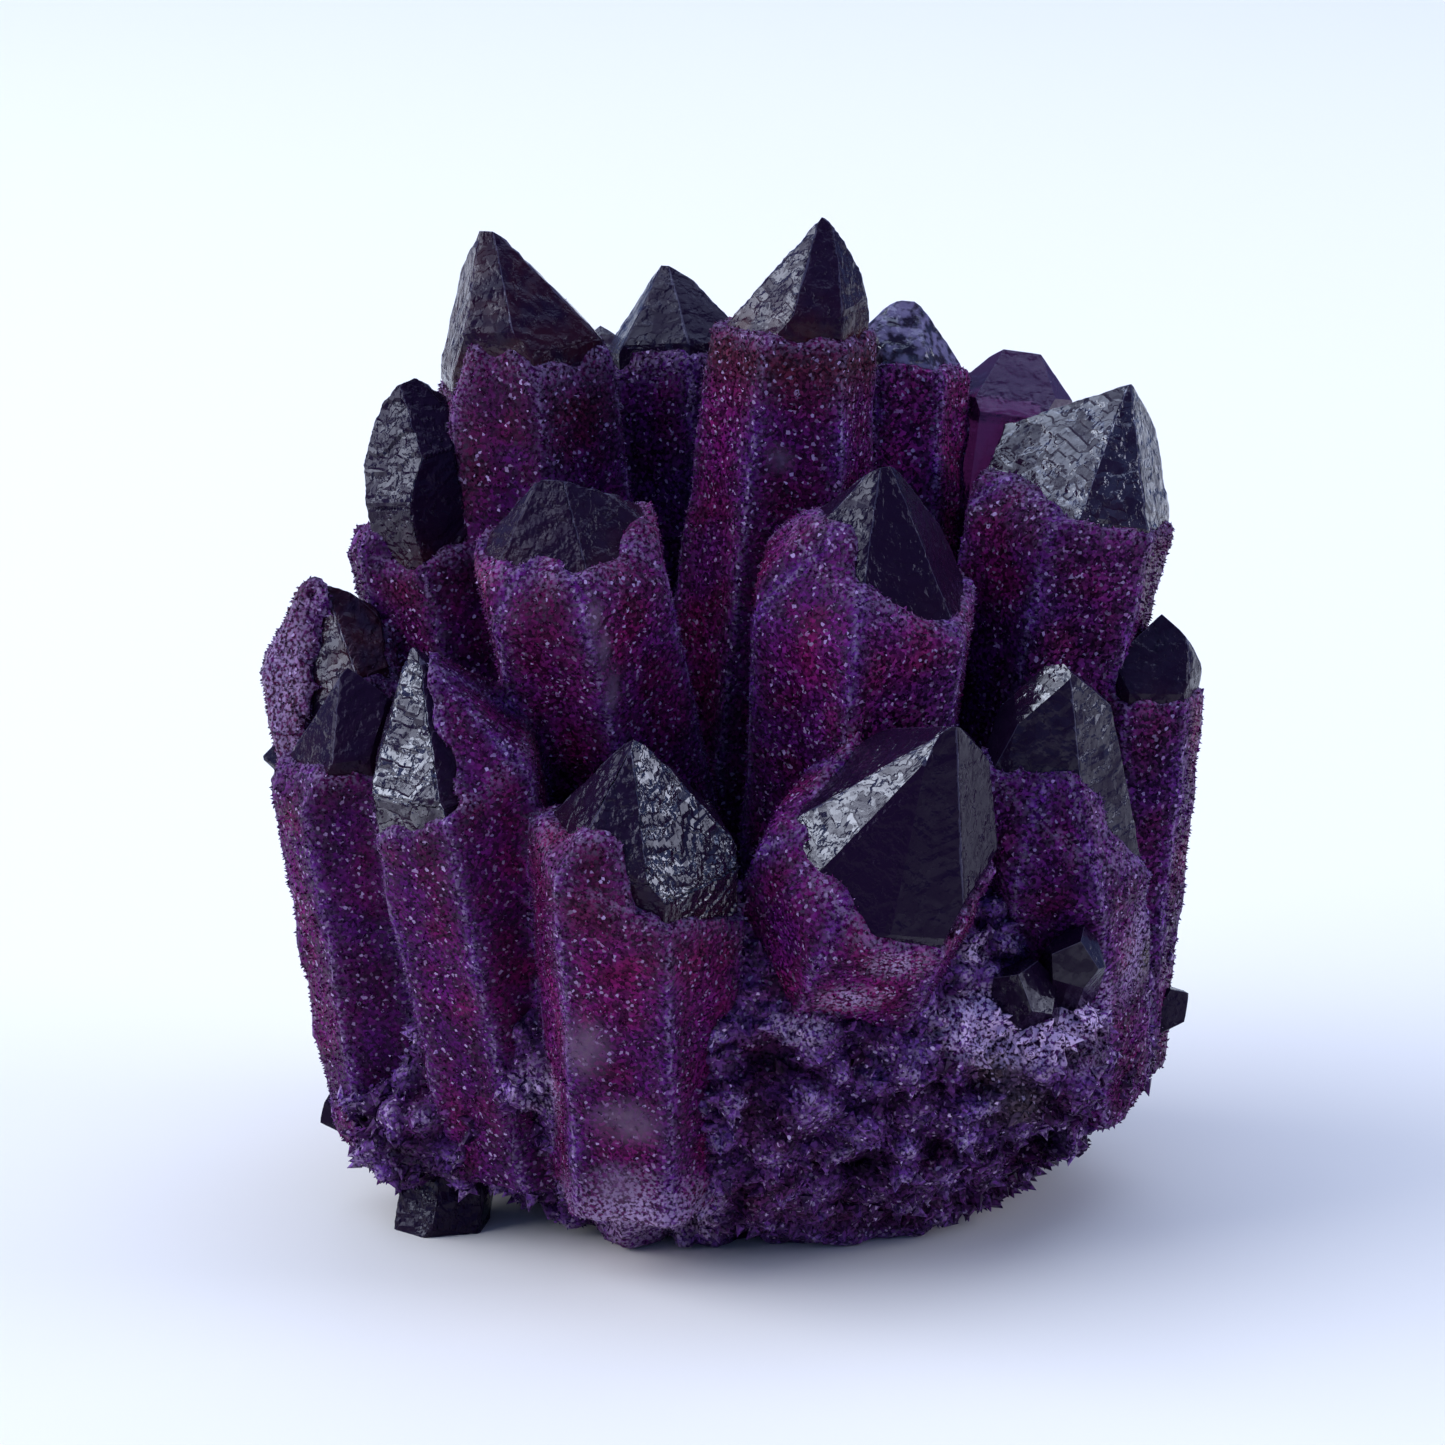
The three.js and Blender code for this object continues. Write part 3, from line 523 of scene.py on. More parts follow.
# How much quartz bends light, how far apart the steps of the marks are in millimetres, and their height in
# metres.
QUARTZ_IOR = 1.544
STEP_SPACING = 1.25
STEP_HEIGHT = 0.0002
# The colours of the warm glow at the foot of an end, of the frost on its faces, and of the painted highlight
# along its ridges.
WARM_BROWN = (0.04, 0.006, 0.006, 1)
GREY_FROST = (0.24, 0.19, 0.32, 1)
PAINTED_RIDGE_HIGHLIGHT = (0.3, 0.28, 0.42, 1)


def bare_quartz(name, dark, clear):
    """Glassy quartz: dark, with a warm glow where it meets the coat. clear is how much light goes through."""
    material, tree, shader = new_material(name)
    marks = add_node(tree, "ShaderNodeGroup", node_tree=MARKS)
    tree.links.new(attribute(tree, "facet_place", "Vector"), marks.inputs["Place"])
    marks.inputs["Spacing"].default_value = STEP_SPACING
    strength = attribute(tree, "ledges")
    frosted = attribute(tree, "frosted")
    where = add_node(tree, "ShaderNodeTexCoord").outputs["Object"]
    cloud = noise(tree, where, 330.0, 4.0)
    glow = maths(tree, "MULTIPLY", attribute(tree, "warmth"), ramp(tree, cloud, 0.3, 0.65))
    colour = blend(tree, glow, dark, WARM_BROWN)
    frost = maths(tree, "MULTIPLY", maths(tree, "MULTIPLY", frosted, frosted),
                  ramp(tree, noise(tree, where, 900.0, 3.0), 0.4, 0.62))
    colour = blend(tree, frost, colour, GREY_FROST)
    # A painted highlight along the ridges between the end faces.
    ridge = maths(tree, "MULTIPLY", ramp(tree, attribute(tree, "ridge"), 0.8, 1.0), 0.12)
    colour = blend(tree, ridge, colour, PAINTED_RIDGE_HIGHLIGHT)
    steps = maths(tree, "MULTIPLY", marks.outputs["Steps"], ramp(tree, strength, 0.0, 0.8))
    rough = maths(tree, "MULTIPLY_ADD", marks.outputs["Pits"], 0.1, 0.12)
    rough = maths(tree, "MULTIPLY_ADD", frosted, 0.25, rough)
    height = maths(tree, "MULTIPLY", marks.outputs["Height"], maths(tree, "MULTIPLY_ADD", strength, 0.9, 0.1))
    bump = add_node(tree, "ShaderNodeBump", {"Strength": 1.0, "Distance": STEP_HEIGHT, "Height": height})
    # The silvery film is missing from the steps, thin in the pits, and weaker on some plates and flecks.
    worn_off = maths(tree, "MAXIMUM", steps, maths(tree, "MULTIPLY", marks.outputs["Pits"], 0.6))
    film = maths(tree, "MULTIPLY", attribute(tree, "film"), maths(tree, "SUBTRACT", 1.0, worn_off))
    plate = maths(tree, "MULTIPLY_ADD", ramp(tree, marks.outputs["Plate"], 0.25, 0.45), 0.65, 0.35)
    film = maths(tree, "MULTIPLY", film, plate)
    film = maths(tree, "MULTIPLY", film, maths(tree, "MULTIPLY_ADD", ramp(tree, cloud, 0.4, 0.62), 0.3, 0.7))
    film = maths(tree, "MULTIPLY", film, maths(tree, "MULTIPLY_ADD", marks.outputs["Flecks"], 0.35, 0.65))
    finish_shader(tree, shader, Base_Color=colour, Roughness=rough, IOR=QUARTZ_IOR,
                  Transmission_Weight=clear, Specular_IOR_Level=0.06,
                  Specular_Tint=(0.75, 0.72, 1.0, 1), Coat_Weight=film, Coat_IOR=2.1, Coat_Roughness=0.1,
                  Normal=bump.outputs[0], Coat_Normal=bump.outputs[0])
    return material


MARKS = growth_marks()


# How far from the coat's edge the warm glow reaches, in millimetres.
WARM_REACH = 2.2


def lay_points(name, crystals, material):
    """The bare ends of some crystals as one piece."""
    ends = []
    for crystal in crystals:
        ledges, frosted, warmth, _, _, longest = ENDS.get(crystal["name"], PLAIN_END)
        mesh = bare_end(crystal, CRYSTALS.index(crystal), longest)
        near_coat = np.exp(-np.maximum(mesh[4], 0) / WARM_REACH)
        each = np.ones(len(mesh[0]))
        ends.append([*mesh[:4], near_coat * warmth, mesh[5], each * ledges, each * frosted])
    points, triangles, place, film, warmth, ridge, ledges, frosted = joined(ends)
    made = new_object(name, points, triangles, material)
    give_attribute(made, "facet_place", place, "FLOAT_VECTOR", "CORNER")
    give_attribute(made, "film", film, "FLOAT", "CORNER")
    for label, values in (("warmth", warmth), ("ridge", ridge), ("ledges", ledges), ("frosted", frosted)):
        give_attribute(made, label, values)
    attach(made, "root")
    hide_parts("amethyst_cluster")


CLEAR = [crystal for crystal in CRYSTALS if crystal["name"] == "back_right_clear"]
COVERED = [crystal for crystal in CRYSTALS if crystal["name"] == "front_middle_end"]
DARK = [crystal for crystal in CRYSTALS if crystal not in CLEAR + COVERED]
NEAR_BLACK = (0.01, 0.0035, 0.015, 1)
lay_points("bare_points", DARK, bare_quartz("bare_quartz", NEAR_BLACK, clear=0.0))

# The clear point. One quartz crystal at the back on the right is purple and see-through, so that light comes
# through it. It grew with no coat, and its end is like the dark ones.
CLEAR_PURPLE = (0.09, 0.012, 0.075, 1)
lay_points("clear_point", CLEAR, bare_quartz("clear_quartz", CLEAR_PURPLE, clear=0.62))

# The coat. A sugary crust of tiny quartz crystals that grew later over the long sides of the large ones, wine
# red where it is deep, with a painted glow standing in for light that shines through, and violet along the
# edges, partly painted scattered light. It stops in a ragged collar under each bare tip.
# The block of space that the coat and the foot are worked out in, and how far from a surface still matters.
GRID_LOW = np.array([-51.0, -47.0, -2.0])
GRID_HIGH = np.array([51.0, 49.0, 102.0])
FAR = 3.0


def grid_block(low, high, step):
    """The part of the grid of sample points between two corners, as slices and as points."""
    first = np.maximum(np.floor((low - GRID_LOW) / step).astype(int), 0)
    last = np.minimum(np.ceil((high - GRID_LOW) / step).astype(int) + 1,
                      np.ceil((GRID_HIGH - GRID_LOW) / step).astype(int))
    sides = [GRID_LOW[i] + step * np.arange(first[i], last[i]) for i in range(3)]
    points = np.stack(np.meshgrid(*sides, indexing="ij"), axis=-1)
    return tuple(slice(first[i], last[i]) for i in range(3)), points


def soft_lower(first, second, width):
    """The lower of two fields, with the crease between them filled over about that width."""
    near = np.maximum(width - np.abs(first - second), 0) / width
    return np.minimum(first, second) - near * near * width / 4


# The ragged edge and the unevenness of the coat, each with a fine and a broad part: their heights and widths.
RAGGED_HEIGHTS = (1.8, 1.6)
RAGGED_WIDTHS = (1.6, 4.5)
UNEVEN_HEIGHTS = (0.3, 0.55)
UNEVEN_WIDTHS = (1.5, 3.4)


def coated_value(crystal, points):
    """How far points are outside a crystal's coat, with the coat's unevenness and its ragged upper edge."""
    normals, distances, upper = coat_planes(crystal)
    values = points @ normals.T - distances
    near = np.abs(values.max(axis=1)) < FAR
    close = points[near]
    ragged = (RAGGED_HEIGHTS[0] * (soft_noise(close, RAGGED_WIDTHS[0], 21) - 0.5)
              + RAGGED_HEIGHTS[1] * (soft_noise(close, RAGGED_WIDTHS[1], 22) - 0.5))
    if "cover" not in crystal and "brim" not in crystal:
        ragged = np.maximum(ragged, COLLAR_SHOWS - COLLAR)
    values[np.ix_(near, upper)] += ragged[:, None]
    value = values.max(axis=1)
    value[near] += (UNEVEN_HEIGHTS[1] * (soft_noise(close, UNEVEN_WIDTHS[1], 23) - 0.35)
                    + UNEVEN_HEIGHTS[0] * (soft_noise(close, UNEVEN_WIDTHS[0], 24) - 0.5))
    return value


def surface_of(field, step):
    """The closed surface where a field is 0, as points and quads that face out of the negative part."""
    cells = np.array(field.shape) - 1
    sums = np.zeros((cells.prod(), 3))
    counts = np.zeros(cells.prod())
    crossings = []
    for axis in range(3):
        lower = field[tuple(slice(None, -1) if i == axis else slice(None) for i in range(3))]
        upper = field[tuple(slice(1, None) if i == axis else slice(None) for i in range(3))]
        corner = np.argwhere((lower < 0) != (upper < 0))
        start = lower[tuple(corner.T)]
        end = upper[tuple(corner.T)]
        place = corner.astype(float)
        place[:, axis] += start / (start - end)
        around = []
        for shift in ((-1, -1), (0, -1), (0, 0), (-1, 0)):
            cell = corner.copy()
            cell[:, (axis + 1) % 3] += shift[0]
            cell[:, (axis + 2) % 3] += shift[1]
            flat = np.ravel_multi_index(cell.T, cells)
            around.append(flat)
            counts += np.bincount(flat, minlength=len(counts))
            for i in range(3):
                sums[:, i] += np.bincount(flat, place[:, i], minlength=len(counts))
        quads = np.stack(around, axis=1)
        crossings.append(np.where((start < 0)[:, None], quads, quads[:, ::-1]))
    used = np.flatnonzero(counts)
    number = np.full(len(counts), -1)
    number[used] = np.arange(len(used))
    points = GRID_LOW + step * sums[used] / counts[used][:, None]
    return points, number[np.concatenate(crossings)]


# Where the coat climbs over part of a bare end: the crystal, and the planes that it stays behind.
COVERS = [("front_left", [([-28.4, -30, 54], [-1, -0.1, -0.2])]),
          ("right_long_face", [([34.0, -25, 47.6], [1, 0, 0.287]), ([30, -25, 49.5], [-0.15, 0, 1])]),
          ("left_frosted", [([-41.4, -5, 55], [1, 0, -0.12])]),
          ("middle_right", [([9, -18, 72.6], [0.1, 0, 1]), ([11.6, -18, 70], [1, 0, 0])]),
          ("front_middle", [([-12, -38, 47.4], [-0.12, 0, 1]), ([-10.6, -38, 46], [1, 0, 0.25])])]
# The step of the grid, the width of the filled crease between two coats, and how far over the cut they end.
COAT_STEP = 0.87
CREASE = 0.9
OVER_CUT = 0.05
field = np.full(np.ceil((GRID_HIGH - GRID_LOW) / COAT_STEP).astype(int), FAR)
coated = [crystal for crystal in CRYSTALS if crystal.get("coat") != 0 or crystal in COVERED]
for name, planes in COVERS:
    coated += [dict(crystal, cover=planes) for crystal in CRYSTALS if crystal["name"] == name]
for crystal in coated:
    normals, distances, _ = coat_planes(crystal)
    corners = corners_behind(normals, distances)
    block, points = grid_block(corners.min(axis=0) - FAR, corners.max(axis=0) + FAR, COAT_STEP)
    value = coated_value(crystal, points.reshape(-1, 3)).reshape(points.shape[:3])
    field[block] = soft_lower(field[block], value, CREASE)
heights = GRID_LOW[2] + COAT_STEP * np.arange(field.shape[2])
field = np.maximum(field, OVER_CUT - heights)
coat_points, coat_quads = surface_of(field, COAT_STEP)


def lay_coat(name, points, quads, material):
    """One surface of the coat as a piece that rides on the cluster."""
    made = new_object(name, points, quads, material)
    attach(made, "root")
    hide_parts("amethyst_cluster")
    return made


# How much painted glow some crystals have in their coat: a brighter wine red that stands in for the light
# that shines through them. The others have the plain value below.
PAINTED_GLOWS = {"back_right_chisel": 1.0, "middle_left": 0.4, "middle_tall": 0.4, "front_middle": 0.4,
         "front_right": 0.35, "middle_right": 0.25, "back_left_tall": 0.0, "back_slot": 0.0,
         "right_edge": 0.0}
PLAIN_PAINTED_GLOW = 0.1


def crystal_edges(points):
    """For points on the coat: how near an edge and the collar they are, how warm, and their painted glow."""
    nearest = np.full(len(points), 9.0)
    edge, rim, warmth, glow = np.zeros((4, len(points)))
    for crystal in coated:
        normals, distances, upper = coat_planes(crystal)
        values = points @ normals.T - distances
        top = values[:, upper].max(axis=1)
        sides = np.sort(values[:, 1:2 * SIDES + 1:2], axis=1)
        value = values.max(axis=1)
        mine = value < nearest
        nearest[mine] = value[mine]
        edge[mine] = np.exp(-(sides[mine, -1] - sides[mine, -2]) / 1.3)
        rim[mine] = np.exp(-np.abs(top[mine]) / 0.9)
        brown = ENDS.get(crystal["name"], PLAIN_END)[2]
        warmth[mine] = brown * np.exp(-((top[mine] + 2.5) / 3.0) ** 2)
        glow[mine] = PAINTED_GLOWS.get(crystal["name"], PLAIN_PAINTED_GLOW)
    return edge, rim, warmth, glow


def patches(points, places):
    """How much of each patch is at each point: its middle and its size in millimetres, and its strength."""
    total = np.zeros(len(points))
    for middle, size, strength in places:
        away = np.linalg.norm((points - np.array(middle)) / np.array(size), axis=1)
        total = np.maximum(total, strength * np.clip(1.3 - away, 0, 1))
    return total


def sugar():
    """A surface of tiny crystal faces, each with a normal and a shade of its own, and some that flash with a
    painted glint.
    """
    group, given, result = new_group("sugar", {"Place": "Vector", "Faces": "Float", "Tilt": "Float"},
                                     {"Normal": "Vector", "Flash": "Float", "Face": "Float"})
    cells = add_node(group, "ShaderNodeTexVoronoi", {"Vector": given["Place"], "Scale": given["Faces"]})
    centred = add_node(group, "ShaderNodeVectorMath", {0: cells.outputs["Color"], 1: (0.5, 0.5, 0.5)},
                       operation="SUBTRACT").outputs[0]
    tilted = add_node(group, "ShaderNodeVectorMath", {0: centred, "Scale": given["Tilt"]},
                      operation="SCALE").outputs[0]
    straight = group.nodes.new("ShaderNodeNewGeometry").outputs["Normal"]
    both = add_node(group, "ShaderNodeVectorMath", {0: straight, 1: tilted}, operation="ADD").outputs[0]
    normal = add_node(group, "ShaderNodeVectorMath", {0: both}, operation="NORMALIZE").outputs[0]
    parts = add_node(group, "ShaderNodeSeparateColor", {0: cells.outputs["Color"]}).outputs
    group.links.new(normal, result.inputs["Normal"])
    # A few faces flash: a pale colour painted on them as a glint.
    bright = maths(group, "MULTIPLY_ADD", parts[2], 0.8, 0.2)
    flash = maths(group, "MULTIPLY", ramp(group, parts[1], 0.92, 0.97), bright)
    group.links.new(flash, result.inputs["Flash"])
    group.links.new(parts[0], result.inputs["Face"])
    return group


def druse_colour():
    """The colours of the crust, for the surface and for the grains that stand on it.

    They are laid over each other: deep, a painted glow for light shining through, edges partly painted with
    scattered light, stains, painted shade in the hollows, each face's own shade, frost with painted highlights
    and glints, and wear.
    """
    group, given, result = new_group("druse_colour", {
        "Place": "Vector", "Face": "Float", "Flash": "Float", "Deep": "Color", "Glow": "Color",
        "Edge": "Color", "Pale": "Color"}, {"Color": "Color"})
    # Painted glow: a brighter wine red in broad patches, stronger on some crystals and weaker at the edges,
    # that stands in for light shining through the crystals.
    broad = ramp(group, noise(group, given["Place"], 105.0, 2.0), 0.42, 0.66)
    glow = maths(group, "MULTIPLY_ADD", broad, 0.7, attribute(group, "glow"))
    off_edge = maths(group, "SUBTRACT", 1.0, maths(group, "MULTIPLY", attribute(group, "edge"), 0.6))
    glow = maths(group, "MINIMUM", maths(group, "MULTIPLY", glow, off_edge), 1.0)
    colour = blend(group, glow, given["Deep"], given["Glow"])
    # Violet along the edges and in patches: partly painted light scattered at the crystals' edges, partly the
    # crust's own patchy tone.
    patchy = ramp(group, noise(group, given["Place"], 240.0, 3.0), 0.3, 0.7)
    along = maths(group, "MULTIPLY", attribute(group, "edge"), maths(group, "MULTIPLY_ADD", patchy, 0.6, 0.4))
    along = maths(group, "MAXIMUM", along, maths(group, "MULTIPLY", patchy, 0.45))
    colour = blend(group, along, colour, given["Edge"])
    warm = maths(group, "MULTIPLY", attribute(group, "warmth"), 0.8)
    colour = blend(group, warm, colour, (0.05, 0.008, 0.007, 1))
    colour = blend(group, attribute(group, "olive"), colour, (0.05, 0.035, 0.02, 1))
    # Painted shade: near black in the creases between the foot's lumps, and no pale there.
    dark = maths(group, "MULTIPLY", attribute(group, "hollow"), 0.9)
    colour = blend(group, dark, colour, (0.004, 0.001, 0.006, 1))
    shade = maths(group, "MULTIPLY_ADD", maths(group, "MULTIPLY", given["Face"], given["Face"]), 1.9, 0.22)
    colour = add_node(group, "ShaderNodeMix", {0: 1.0, 6: colour, 7: shade}, data_type="RGBA",
                      blend_type="MULTIPLY").outputs[2]
    # Pale frost, with painted highlights along the crystals' edges and at the collar, and painted glints on the
    # faces that flash.
    fine = ramp(group, noise(group, given["Place"], 2600.0, 3.0), 0.42, 0.6)
    shown = maths(group, "SUBTRACT", 1.0, attribute(group, "hollow"))
    pale = maths(group, "MULTIPLY", attribute(group, "frost"), fine)
    rim = maths(group, "MULTIPLY", maths(group, "MULTIPLY", attribute(group, "rim"), fine), 0.3)
    pale = maths(group, "MAXIMUM", pale, rim)
    line = maths(group, "MULTIPLY_ADD", ramp(group, attribute(group, "edge"), 0.7, 0.95), 0.3, 0.1)
    edge_pale = maths(group, "MULTIPLY", maths(group, "MULTIPLY", attribute(group, "edge"), fine), line)
    pale = maths(group, "MAXIMUM", pale, edge_pale)
    pale = maths(group, "MULTIPLY", maths(group, "MAXIMUM", pale, given["Flash"]), shown)
    colour = blend(group, pale, colour, given["Pale"])
    worn_shade = blend(group, patchy, (0.075, 0.04, 0.085, 1), (0.17, 0.1, 0.15, 1))
    colour = blend(group, attribute(group, "worn"), colour, worn_shade)
    group.links.new(colour, result.inputs["Color"])
    return group


SUGAR = sugar()
DRUSE_COLOUR = druse_colour()


# How many of the tiny faces there are to the metre, and how much they are tilted.
TINY_FACES = 3300.0
TINY_TILT = 0.7


def druse(name, deep, glow, edge, pale):
    """Sugary quartz, glassy and deep in colour, whose tiny faces flash here and there with painted glints."""
    material, tree, shader = new_material(name)
    where = add_node(tree, "ShaderNodeTexCoord").outputs["Object"]
    faces = add_node(tree, "ShaderNodeGroup", node_tree=SUGAR)
    tree.links.new(where, faces.inputs["Place"])
    faces.inputs["Faces"].default_value = TINY_FACES
    faces.inputs["Tilt"].default_value = TINY_TILT
    colour = add_node(tree, "ShaderNodeGroup", node_tree=DRUSE_COLOUR)
    for key, value in (("Place", where), ("Face", faces.outputs["Face"]),
                       ("Flash", maths(tree, "MULTIPLY", faces.outputs["Flash"], 0.8))):
        tree.links.new(value, colour.inputs[key])
    for key, value in (("Deep", deep), ("Glow", glow), ("Edge", edge), ("Pale", pale)):
        colour.inputs[key].default_value = value
    finish_shader(tree, shader, Base_Color=colour.outputs[0], Roughness=0.4, IOR=QUARTZ_IOR,
                  Specular_IOR_Level=0.06, Specular_Tint=(0.6, 0.45, 1.0, 1), Normal=faces.outputs["Normal"])
    return material


# Patches of the crust unlike the rest: pale with frost, stained olive brown, and worn smooth and grey. Each
# has its middle, its half sizes and its strength.
FROSTED = [([28.5, -27, 25], [9.5, 8, 3.6], 2.8), ([22.6, -26.3, 31.8], [1.6, 2, 1.6], 1),
           ([-18.6, -29.2, 18.5], [3, 3, 3], 0.8), ([-31.4, -16.7, 9.9], [4, 4, 4], 0.5),
           ([38, -17, 30], [3, 4, 6], 0.8), ([-44, -6, 40], [4, 5, 9], 0.9),
           ([-46, -4, 54], [4.5, 9, 10], 0.5), ([6, -34.4, 26.3], [3, 3, 1.6], 0.8),
           ([10.7, -35.8, 29.7], [3, 3, 1.8], 0.8),
           ([15.3, -38.6, 34.1], [3, 3, 2], 0.8), ([19.1, -39.4, 37.8], [2.5, 3, 2], 0.8),
           ([33, -24, 22], [3, 4, 5], 0.6), ([-9.5, -30, 6], [7, 9, 7], 1.3)]
OLIVE = [([25, -28.9, 21], [3, 4, 3], 0.8), ([27.3, -29.3, 17], [3, 4, 4], 0.8),
         ([40.3, -15.7, 28], [1.2, 2, 3], 1)]
WORN = [([-14.5, -37.5, 25.6], [2.4, 3, 3.2], 0.8), ([-10.4, -36.7, 17.8], [3.6, 3, 2.4], 0.8),
        ([-11.4, -34.1, 10.3], [3, 4, 2.6], 0.5), ([-9.7, -32, 4.5], [6, 7, 5], 0.45),
        ([-13.5, -28.5, 65.2], [0.6, 1.5, 2.2], 1),
        ([-12.7, -27, 61.5], [0.6, 1.5, 2.2], 1), ([-12, -25.5, 57.5], [0.6, 1.5, 2.4], 1),
        ([4.2, -5.8, 75.6], [1.2, 2, 1.2], 1)]
WINE = {"deep": (0.036, 0.0022, 0.026, 1), "glow": (0.135, 0.005, 0.056, 1), "edge": (0.07, 0.01, 0.135, 1),
        "pale": (0.5, 0.34, 0.56, 1)}
coat = lay_coat("druzy_coat", coat_points, coat_quads, druse("coat_quartz", **WINE))


def give_looks(made, points, values):
    """Gives a surface of the crust everything that its colours and its grains read."""
    values["frost"] = patches(points, FROSTED)
    values["olive"] = patches(points, OLIVE)
    values["worn"] = patches(points, WORN)
    values["grown"] = np.clip((points[:, 2] - 0.8) / 0.5, 0, 1) * (1 - values["worn"])
    for label, numbers in values.items():
        give_attribute(made, label, numbers)


edge, rim, warmth, glow = crystal_edges(coat_points)
give_looks(coat, coat_points, {"edge": edge, "rim": rim, "warmth": warmth, "glow": glow, "hollow": rim * 0})

# The coat's grains. Tiny points of the crust that stand out of it one by one, so that its outline is rough
# and it glitters. Each is a three-sided splinter of quartz, and they are joined in a few pieces.
# How long a grain is as a share of its thickness, how much it leans in radians, and by how many of its
# thicknesses the lowest ones are over the cut.
GRAIN_LENGTH = 1.1
GRAIN_LEAN = 0.7
OVER_FLOOR = 1.2
# How many differently shaded grains there are to the metre.
GRAIN_SHADES = 2900.0


def scatter():
    """A tree that sets grains on a surface, each leaning its own way, and none of them under the cut."""
    tree = bpy.data.node_groups.new("scatter_grains", "GeometryNodeTree")
    for label, kind in (("Surface", "Geometry"), ("Grains per square metre", "Float"), ("Smallest", "Float"),
                        ("Largest", "Float"), ("Sides", "Int"), ("Draw", "Int"), ("Material", "Material")):
        tree.interface.new_socket(name=label, in_out="INPUT", socket_type="NodeSocket" + kind)
    tree.interface.new_socket(name="Grains", in_out="OUTPUT", socket_type="NodeSocketGeometry")
    given = tree.nodes.new("NodeGroupInput").outputs
    result = tree.nodes.new("NodeGroupOutput")
    grown = add_node(tree, "GeometryNodeInputNamedAttribute", {"Name": "grown"}, data_type="FLOAT").outputs[0]
    number = maths(tree, "MULTIPLY", grown, given["Grains per square metre"])
    place = add_node(tree, "GeometryNodeInputPosition").outputs[0]
    height = add_node(tree, "ShaderNodeSeparateXYZ", {0: place}).outputs[2]
    above_cut = maths(tree, "GREATER_THAN", height, maths(tree, "MULTIPLY", given["Largest"], OVER_FLOOR))
    number = maths(tree, "MULTIPLY", number, above_cut)
    spread = add_node(tree, "GeometryNodeDistributePointsOnFaces", {
        "Mesh": given["Surface"], "Density": number, "Seed": given["Draw"]}, distribute_method="RANDOM")
    splinter = add_node(tree, "GeometryNodeMeshCone", {
        "Vertices": given["Sides"], "Radius Top": 0.0, "Radius Bottom": 0.5,
        "Depth": GRAIN_LENGTH}).outputs["Mesh"]
    least, most = (-GRAIN_LEAN, -GRAIN_LEAN, 0.0), (GRAIN_LEAN, GRAIN_LEAN, 6.283)
    lean = add_node(tree, "FunctionNodeRandomValue", {0: least, 1: most, "Seed": given["Draw"]},
                    data_type="FLOAT_VECTOR").outputs[0]
    size = add_node(tree, "FunctionNodeRandomValue", {2: given["Smallest"], 3: given["Largest"],
                                                      "Seed": given["Draw"]}, data_type="FLOAT").outputs[1]
    turned = add_node(tree, "FunctionNodeRotateRotation", {0: spread.outputs["Rotation"], 1: lean},
                      rotation_space="LOCAL").outputs[0]
    stood = add_node(tree, "GeometryNodeInstanceOnPoints", {
        "Points": spread.outputs["Points"], "Instance": splinter, "Rotation": turned, "Scale": size})
    real = add_node(tree, "GeometryNodeRealizeInstances", {0: stood.outputs[0]}).outputs[0]
    painted = add_node(tree, "GeometryNodeSetMaterial", {"Geometry": real, "Material": given["Material"]})
    tree.links.new(painted.outputs[0], result.inputs[0])
    return tree


def grow_grains(name, surface, tree, material, values):
    """Runs the tree on a copy of a surface and keeps the result as one plain mesh."""
    bed = surface.copy()
    bed.data = surface.data.copy()
    bpy.context.scene.collection.objects.link(bed)
    modifier = bed.modifiers.new("scatter", "NODES")
    modifier.node_group = tree
    sockets = {item.name: item.identifier for item in tree.interface.items_tree if item.in_out == "INPUT"}
    modifier[sockets["Material"]] = material
    for key, value in values.items():
        modifier[sockets[key]] = value
    depsgraph = bpy.context.evaluated_depsgraph_get()
    mesh = bpy.data.meshes.new_from_object(bed.evaluated_get(depsgraph))
    mesh.name = name
    bpy.data.objects.remove(bed)
    made = bpy.data.objects.new(name, mesh)
    bpy.context.scene.collection.objects.link(made)
    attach(made, "root")
    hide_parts("amethyst_cluster")
    return made


def grain_material(name, deep, glow, edge, pale):
    """Splinters in the colours of the crust under them, each with its own shade, some of them flashing with a
    painted glint.
    """
    material, tree, shader = new_material(name)
    where = add_node(tree, "ShaderNodeTexCoord").outputs["Object"]
    cells = add_node(tree, "ShaderNodeTexVoronoi", {"Vector": where, "Scale": GRAIN_SHADES})
    parts = add_node(tree, "ShaderNodeSeparateColor", {0: cells.outputs["Color"]}).outputs
    # A few grains flash: a pale colour painted on them as a glint.
    bright = maths(tree, "MULTIPLY", parts[2], parts[2])
    flash = maths(tree, "MULTIPLY", ramp(tree, parts[1], 0.9, 0.98), bright)
    colour = add_node(tree, "ShaderNodeGroup", node_tree=DRUSE_COLOUR)
    for key, value in (("Place", where), ("Face", parts[0]), ("Flash", flash)):
        tree.links.new(value, colour.inputs[key])
    for key, value in (("Deep", deep), ("Glow", glow), ("Edge", edge), ("Pale", pale)):
        colour.inputs[key].default_value = value
    finish_shader(tree, shader, Base_Color=colour.outputs[0], Roughness=0.3, IOR=QUARTZ_IOR,
                  Specular_IOR_Level=0.06, Specular_Tint=(0.7, 0.6, 1.0, 1))
    return material


GRAINS = scatter()
wine_grains = grain_material("wine_grains", **WINE)
# For each piece: the grains on a square millimetre, their least and greatest thickness in metres, and a draw.
for name, values in (
    ("coat_grains_1", (0.95, 0.00016, 0.00034, 1)),
    ("coat_grains_2", (0.95, 0.00016, 0.00034, 2)),
    ("coat_grains_3", (0.5, 0.00022, 0.00042, 3)),
):
    density, smallest, largest, draw = values
    grow_grains(name, coat, GRAINS, wine_grains, {
        "Grains per square metre": density * 1e6, "Smallest": smallest, "Largest": largest, "Sides": 3,
        "Draw": draw})

